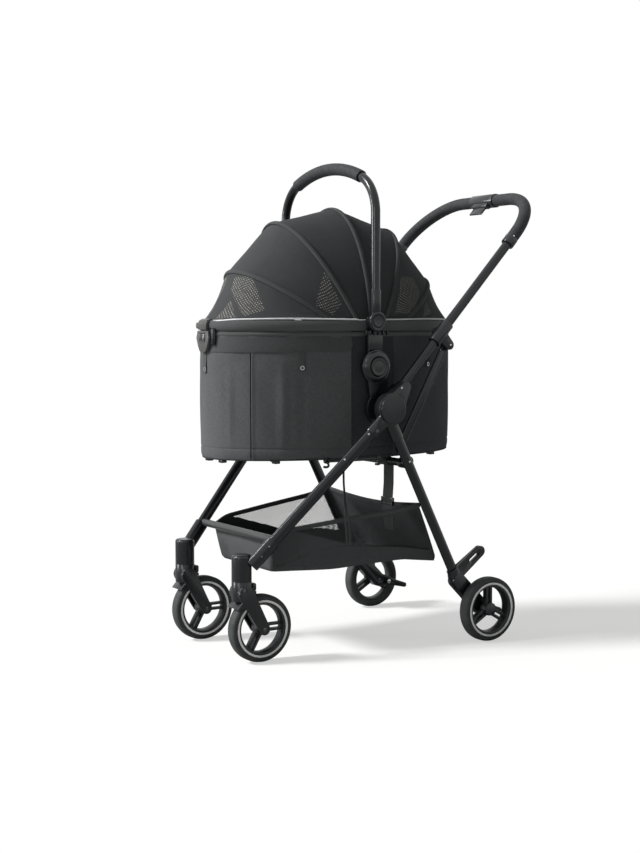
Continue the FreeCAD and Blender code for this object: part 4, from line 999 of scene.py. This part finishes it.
def basket_ring(share, v):
    """A point on the basket's edge at one height: front wall, left side, rear wall, right side."""
    share %= 1.0
    if share < 0.2:
        across = share / 0.2
        edge = basket_side(0, v)
        edge.x *= 2 * across - 1
        edge.y -= 0.005 * math.sin(math.pi * across) * math.sin(math.pi * v)
    elif share < 0.5:
        edge = basket_side((share - 0.2) / 0.3, v)
    elif share < 0.7:
        across = (share - 0.5) / 0.2
        edge = basket_side(1, v)
        edge.x *= 1 - 2 * across
        edge.z -= 0.012 * math.sin(math.pi * across) * v
        edge.y += 0.010 * math.sin(math.pi * across) * math.sin(math.pi * min(v + 0.2, 1))
    else:
        edge = basket_side(1 - (share - 0.7) / 0.3, v)
        edge.x *= -1
    return edge


def basket_skin(share, v):
    """The basket's edge with its corners rounded."""
    return sum((basket_ring(share + step * 0.004, v) for step in range(-2, 3)), Vector()) / 5


def open_knit(place):
    """1 where the side is net: above the curved seam, behind the solid front corner, below the binding."""
    share = (place.y - BASKET_FRONT) / (0.075 - BASKET_FRONT)
    rear = BASKET_REAR_FOOT + (BASKET_REAR_TOP - BASKET_REAR_FOOT) * within((place.z - 0.195) / 0.12)
    if abs(place.x) < 0.096 + 0.058 * share or place.y > rear - 0.006:
        return 0.0
    front = 0.283 - 0.040 * (place.y + 0.251) / 0.136
    low = max(soft_line(SEAM_LINE, place.y, 0.02) + 0.002, front if place.y < -0.115 else 0.0)
    return 1.0 if low < place.z < soft_line(TOP_LINE, share) - 0.004 else 0.0


def basket_blend(piece):
    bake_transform(piece)


def point_along(points, share):
    place = within(share) * (len(points) - 1)
    low = min(int(place), len(points) - 2)
    return Vector(points[low]).lerp(Vector(points[low + 1]), place - low)


def flat_cord(name, points, half_high, half_thick, steps):
    """A flat binding that stands upright along a line of points, rounded over its edges."""

    def line(u):
        ahead = (point_along(points, u + 0.02) - point_along(points, u - 0.02)).normalized()
        side = ahead.cross(Vector((0, 0, 1))).normalized()
        end = 0.05 if u in (0.0, 1.0) else 1.0
        return point_along(points, u), side * half_thick * end, Vector((0, 0, half_high * end))

    return roll(name, steps, 14, (0.4, 0.02), line)


def sew_basket():
    """The basket in one cloth from its floor up, with its bindings and seams."""
    floor_part = 0.22

    def place(u, v):
        if v < floor_part:
            share = v / floor_part
            middle = Vector((0, BASKET_MIDDLE, 0.1925))
            point = middle.lerp(basket_skin(u, 0.0), max(share, 0.01) * 0.985)
            point.z += 0.0012 * math.sin(point.x * 60) * math.sin(point.y * 40) * (1 - share)
            return point
        height = (v - floor_part) / (1 - floor_part)
        point = basket_skin(u, height)
        ease = (1 - min(height / 0.12, 1)) ** 2
        point.x *= 1 - 0.035 * ease
        point.y += (BASKET_MIDDLE - point.y) * 0.02 * ease
        return point

    basket = grid("basket_cloth", 280, 64, place, (1.42, 0.30))
    area = masked(basket, open_knit)
    finished(thickened(basket, 0.0010, -1, 50), None, BASKET_NET, "lower_basket")
    basket_blend(basket)

    left = flat_cord("binding_left", [basket_side(step / 30, 1.0) for step in range(31)], 0.0052, 0.0022, 90)
    front = flat_cord("binding_front", [basket_ring(0.2 * step / 12, 1.0) for step in range(13)], 0.0030, 0.0024, 40)
    rear = [basket_ring(0.5 + 0.2 * step / 16, 1.0) for step in range(17)]
    rear = flat_cord("binding_rear", rear, 0.0052, 0.0022, 60)
    seam = []
    for step in range(0, 41, 2):
        y = -0.285 + 0.372 * step / 40
        z = soft_line(SEAM_LINE, y, 0.02)
        share = (y - BASKET_FRONT - 0.006) / (0.085 - BASKET_FRONT)
        side = basket_side(within(share), within((z - 0.197) / 0.11))
        seam.append(Vector((side.x + 0.0012, y, z)))
    welt = piped("seam_left", seam, 0.0017)
    fold = [basket_side(0.195 - 0.009 * step, 0.04 + 0.1 * step) + Vector((0.0006, 0, 0)) for step in range(6)]
    crease = piped("crease_left", fold, 0.0010)
    others = [mirrored(piece, piece.name + "_right") for piece in (left, welt, crease)]
    basket_blend(finished(joined("basket_edge", [left, front, rear, welt, crease, *others]), None, BINDING))


def webbing(name, points, half, thick, across):
    """A flat strap along a line of points; across is the direction of its width."""

    def place(u, v):
        return point_along(points, v) + Vector(across) * half * (2 * u - 1)

    long = sum(math.dist(a, b) for a, b in zip(points, points[1:]))
    strap = grid(name, 6, 40, place, (2 * half, long), weld=0)
    modified(strap, "SOLIDIFY", thickness=thick, offset=0)
    return smooth(eased(strap, thick * 0.3), 40)


def hang_straps():
    """The wide strap from the rear bar into the basket, and the thin one from the leg to the side."""
    middle = 0.12
    hang = (0.0180, 0.4140), (0.0178, 0.372), (0.0150, 0.335), (0.016, 0.300), (0.021, 0.262)
    strap = webbing("basket_strap", [(middle, y, z) for y, z in hang], 0.0195, 0.0014, AXLE)
    finished(strap, "rear_frame", WEBBING)
    loop = lathe("strap_collar", [(-19, 9.4), (19, 9.4), (19, 10.6), (-19, 10.6), (-19, 9.4)], (middle, 0.0064, 0.4250))
    finished(loop, "rear_frame", WEBBING)
    bars = [
        slab("bar", low, high, ease)
        for low, high, ease in (
            ((0.0965, 0.0120, 0.3215), (0.1435, 0.0176, 0.3255), 0.0009),
            ((0.0965, 0.0120, 0.3345), (0.1435, 0.0176, 0.3385), 0.0009),
            ((0.0985, 0.0130, 0.3285), (0.1415, 0.0170, 0.3312), 0.0008),
            ((0.1395, 0.0120, 0.3215), (0.1435, 0.0176, 0.3385), 0.0009),
            ((0.0965, 0.0120, 0.3215), (0.1005, 0.0176, 0.3385), 0.0009),
        )
    ]
    finished(joined("strap_buckle", bars), "rear_frame", PLASTIC)
    thin = []
    for lean in (0.0, 0.009):
        line = [
            (0.214, -0.170, 0.440), (0.200, -0.160, 0.39), (0.190, -0.150, 0.345),
            (0.184, -0.144 + lean, 0.300), (0.173, -0.132 + lean, 0.243),
        ]
        thin.append(webbing("thin", line, 0.0026, 0.0011, (0, 1, 0)))
    thin = finished(joined("side_strap", thin), None, WEBBING)
    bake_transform(thin)


# ---- small fittings


def fit_rivets():
    """Domed rivet heads on both sides, each seated on a surface that faces the given way, and the brakes' pins."""
    head = [(-0.6, 2.4), (0.3, 2.4), (0.9, 1.92), (1.2, 0.96), (1.25, 0.05)]
    for name, place, outward_to, body, finish in (
        ("arm_rivet", (0.2420, -0.0332, 0.5976), AXLE, "frame", STEEL),
        ("sleeve_rivet", (0.2346, -0.1169, 0.4980), (0.895, -0.421, 0.150), "frame", STEEL),
        ("leg_rivet", (0.2186, -0.1698, 0.4436), (0.806, -0.526, 0.272), "frame", STEEL),
        ("socket_rivet_high", (0.1754, -0.3355, 0.2597), (0.951, -0.308, 0), "frame", DARK_STEEL),
        ("socket_rivet_low", (0.1705, -0.3521, 0.2384), (0.969, -0.247, 0), "frame", DARK_STEEL),
        ("lug_rivet", (0.2175, 0.1215, 0.6911), AXLE, "handle", STEEL),
        ("collar_rivet", (0.2322, 0.2930, 0.9430), AXLE, "handle", STEEL),
        ("rear_leg_rivet", (0.2189, 0.0060, 0.4290), AXLE, "rear_frame", STEEL),
    ):
        rivet = lathe(name, head, place, outward_to)
        for piece in (rivet, mirrored(rivet, name + "_right")):
            finished(piece, body, finish)
    cap = lathe("brake_pin", [(-1, 5.2), (0.6, 5.2), (1.1, 4.4), (1.3, 0.05)], (-0.1862, 0.237, 0.071))
    for piece, body in ((cap, "brake_right"), (mirrored(cap, "brake_pin_left"), "brake_left")):
        finished(piece, body, STEEL)


def fit_discs():
    """The stepped bezel and domed button on each receiver, and the same on the arch's pivots."""
    bezel = [
        (196.5, 37.6), (197.6, 37.6), (198.2, 37.0), (198.4, 35.2), (199.0, 34.6), (201.4, 33.8), (203.4, 32.3),
        (205.2, 29.9), (206.5, 27.0), (207.1, 25.2), (206.9, 23.8), (205.9, 22.9), (205.2, 21.4), (199.6, 21.2),
        (199.6, 25.6), (196.5, 25.6), (196.5, 37.6),
    ]
    button = [
        (199.7, 0.05), (199.7, 20.5), (206.2, 20.5), (207.3, 19.9), (207.9, 18.8), (208.0, 17.4), (207.6, 16.6),
        (207.8, 12.0), (208.2, 6.0), (208.3, 0.05),
    ]
    ring = [
        (195.0, 22.4), (202.4, 22.4), (203.8, 21.8), (205.0, 20.2), (205.3, 18.4), (204.6, 17.2), (203.9, 16.2),
        (203.7, 13.9), (201.6, 13.7), (201.6, 18.8), (195.0, 18.8), (195.0, 22.4),
    ]
    cap = [
        (199.2, 0.05), (199.2, 12.9), (203.9, 12.9), (204.9, 12.2), (205.4, 10.8), (205.2, 9.6), (204.8, 8.6),
        (204.9, 4.0), (205.0, 0.05),
    ]
    receiver, pivot = (0, MIDDLE_Y, 0.644), (0, MIDDLE_Y, 0.744)
    for name, profile, middle, segments, *hung in (
        ("release_bezel_left", bezel, receiver, 96, "frame", PLASTIC),
        ("release_cap_left", button, receiver, 96, "release_button_SIDE", TRIM, "release_button"),
        ("arch_ring_left", ring, pivot, 72, "arch", PLASTIC),
        ("arch_cap_left", cap, pivot, 72, "arch_button_SIDE", TRIM, "arch_button"),
    ):
        both_sides(lathe(name, profile, middle, segments=segments), *hung)


def fit_ribs():
    """Small moulded teeth across the top of each yoke, and a rail down its front edge."""
    teeth = []
    for number in range(6):
        y = -0.1000 + number * 0.0115
        teeth.append(slab("tooth", (0.1915, y, 0.7145), (0.1975, y + 0.0034, 0.7245), 0.0010))
    teeth.append(slab("rail", (0.190, -0.0925, 0.668), (0.1968, -0.0893, 0.7230), 0.0011))
    both_sides(joined("yoke_teeth_left", teeth), "carrier", PLASTIC)


def fit_link_rails():
    """The folded lips along each link bar, which start clear of the rear leg's head."""
    top, foot = Vector((0.2030, 0.1195, 0.6915)), Vector((0.2030, -0.0108, 0.4576))
    along = (top - foot).normalized()
    lips = []
    for side in (-0.0076, 0.0076):
        across = Vector(AXLE).cross(along) * side
        run = [foot + along * 0.026, top.lerp(foot, 0.5), top - along * 0.010]
        lips.append(piped("lip", [point + across for point in run], 0.0016))
    # The lips take the lighter paint: painted highlight along the bar's edges.
    both_sides(joined("link_lips_left", lips), "link_SIDE", LIT_PAINT)


def fit_forks():
    """A pocket with a pin on each fork's neck."""
    ring = [(157.6, 7.4), (158.7, 7.4), (159.2, 6.6), (158.9, 5.6), (157.6, 5.4), (157.6, 7.4)]
    pin = [(157.0, 3.9), (158.5, 3.9), (159.0, 3.0), (158.7, 1.6), (158.7, 0.05)]
    neck = (0, -0.388, 0.166)
    both_sides(lathe("neck_ring_left", ring, neck, segments=40), "caster_SIDE", PLASTIC)
    both_sides(lathe("neck_pin_left", pin, neck, segments=28), "caster_SIDE", DARK_STEEL)


def fit_clasp():
    """The front latch: a tapered plate with a framed button under a lever that hooks over the rim."""
    half = ((24.0, 724.5), (26.5, 716.0), (29.5, 708.0), (22.0, 690.0), (16.0, 680.5), (9.5, 676.0))
    outline = [(x * MM, -0.4040, z * MM) for x, z in half] + [(-x * MM, -0.4040, z * MM) for x, z in reversed(half)]
    body = plate("latch_plate", outline, (0, 0.0085, 0), 0.0022)
    hook = (
        (-0.4045, 0.7262), (-0.4052, 0.7400), (-0.4020, 0.7475), (-0.3930, 0.7508),
        (-0.3860, 0.7500), (-0.3862, 0.7465), (-0.3935, 0.7440), (-0.3960, 0.7262),
    )
    lever = plate("latch_lever", [(-0.0185, y, z) for y, z in hook], (0.037, 0, 0), 0.0012)
    tongue = slab("latch_tongue", (-0.0330, -0.4035, 0.7285), (-0.0170, -0.3950, 0.7425), 0.0038, 4)
    rim = [
        slab("rim", (x0 * MM, -0.4056, z0 * MM), (x1 * MM, -0.4030, z1 * MM), 0.0007)
        for x0, x1, z0, z1 in ((-13, -11, 699, 721), (11, 13, 699, 721), (-13, 13, 719, 721), (-13, 13, 699, 701))
    ]
    latch = joined("latch", [body, lever, tongue, *rim])
    finished(latch, "carrier", CLASP_GREY, "front_clasp")
    button = slab("latch_button", (-0.0090, -0.4068, 0.7028), (0.0074, -0.4026, 0.7182), 0.0012, 3)
    finished(button, "clasp_button", TRIM, "clasp_button")
    # A bright steel strip along the button's edge, there as a painted highlight: a glint on the button.
    glint = slab("latch_button_glint", (0.0075, -0.4070, 0.7034), (0.0095, -0.4030, 0.7176), 0.0005)
    finished(glint, "clasp_button", STEEL)
    block = slab("latch_block", (0.0250, -0.3985, 0.6930), (0.0380, -0.3880, 0.7300), 0.0025, 3)
    finished(block, "carrier", PLASTIC)


def fit_base():
    """Hooks, a rod and feet under the carrier's floor."""
    rod = [(0.1650, -0.180, 0.4368), (0.1690, -0.115, 0.4366), (0.1720, -0.050, 0.4364)]
    parts = [piped("rod", rod, 0.0042, order=2)]
    eye = [(-4, 0.05), (-4, 7.0), (3.6, 7.0), (4.6, 6.0), (4.8, 0.05)]
    bend = ((0.002, -0.004), (0.006, -0.011), (0.001, -0.0155), (-0.008, -0.0135))
    for x, y, z in ((0.1655, -0.182, 0.4372), (0.1725, -0.048, 0.4372)):
        parts.append(lathe("eye", eye, (x, y, z), segments=32))
        parts.append(piped("hook", [(x, y + back, z + up) for back, up in bend], 0.0026))
    both_sides(joined("base_hooks_left", parts), "carrier", PLASTIC)
    feet = []
    for degrees in (12, 47, 133, 168, -12, -47, -133, -168):
        x, y, _ = around(degrees, 0, -0.016)
        feet.append(slab("foot", (x - 0.008, y - 0.007, 0.4315), (x + 0.008, y + 0.007, 0.4395), 0.0018))
    finished(joined("base_feet", feet), "carrier", PLASTIC)


aim_camera()
light_studio()
lay_floor()
dress_frame()
wheel("front", True, False)
wheel("rear", False, True)
sew_walls()
roll_rim()
sew_band()
sew_tabs()
cover_hood()
sew_basket()
hang_straps()
fit_rivets()
fit_discs()
fit_ribs()
fit_link_rails()
fit_forks()
fit_clasp()
fit_base()
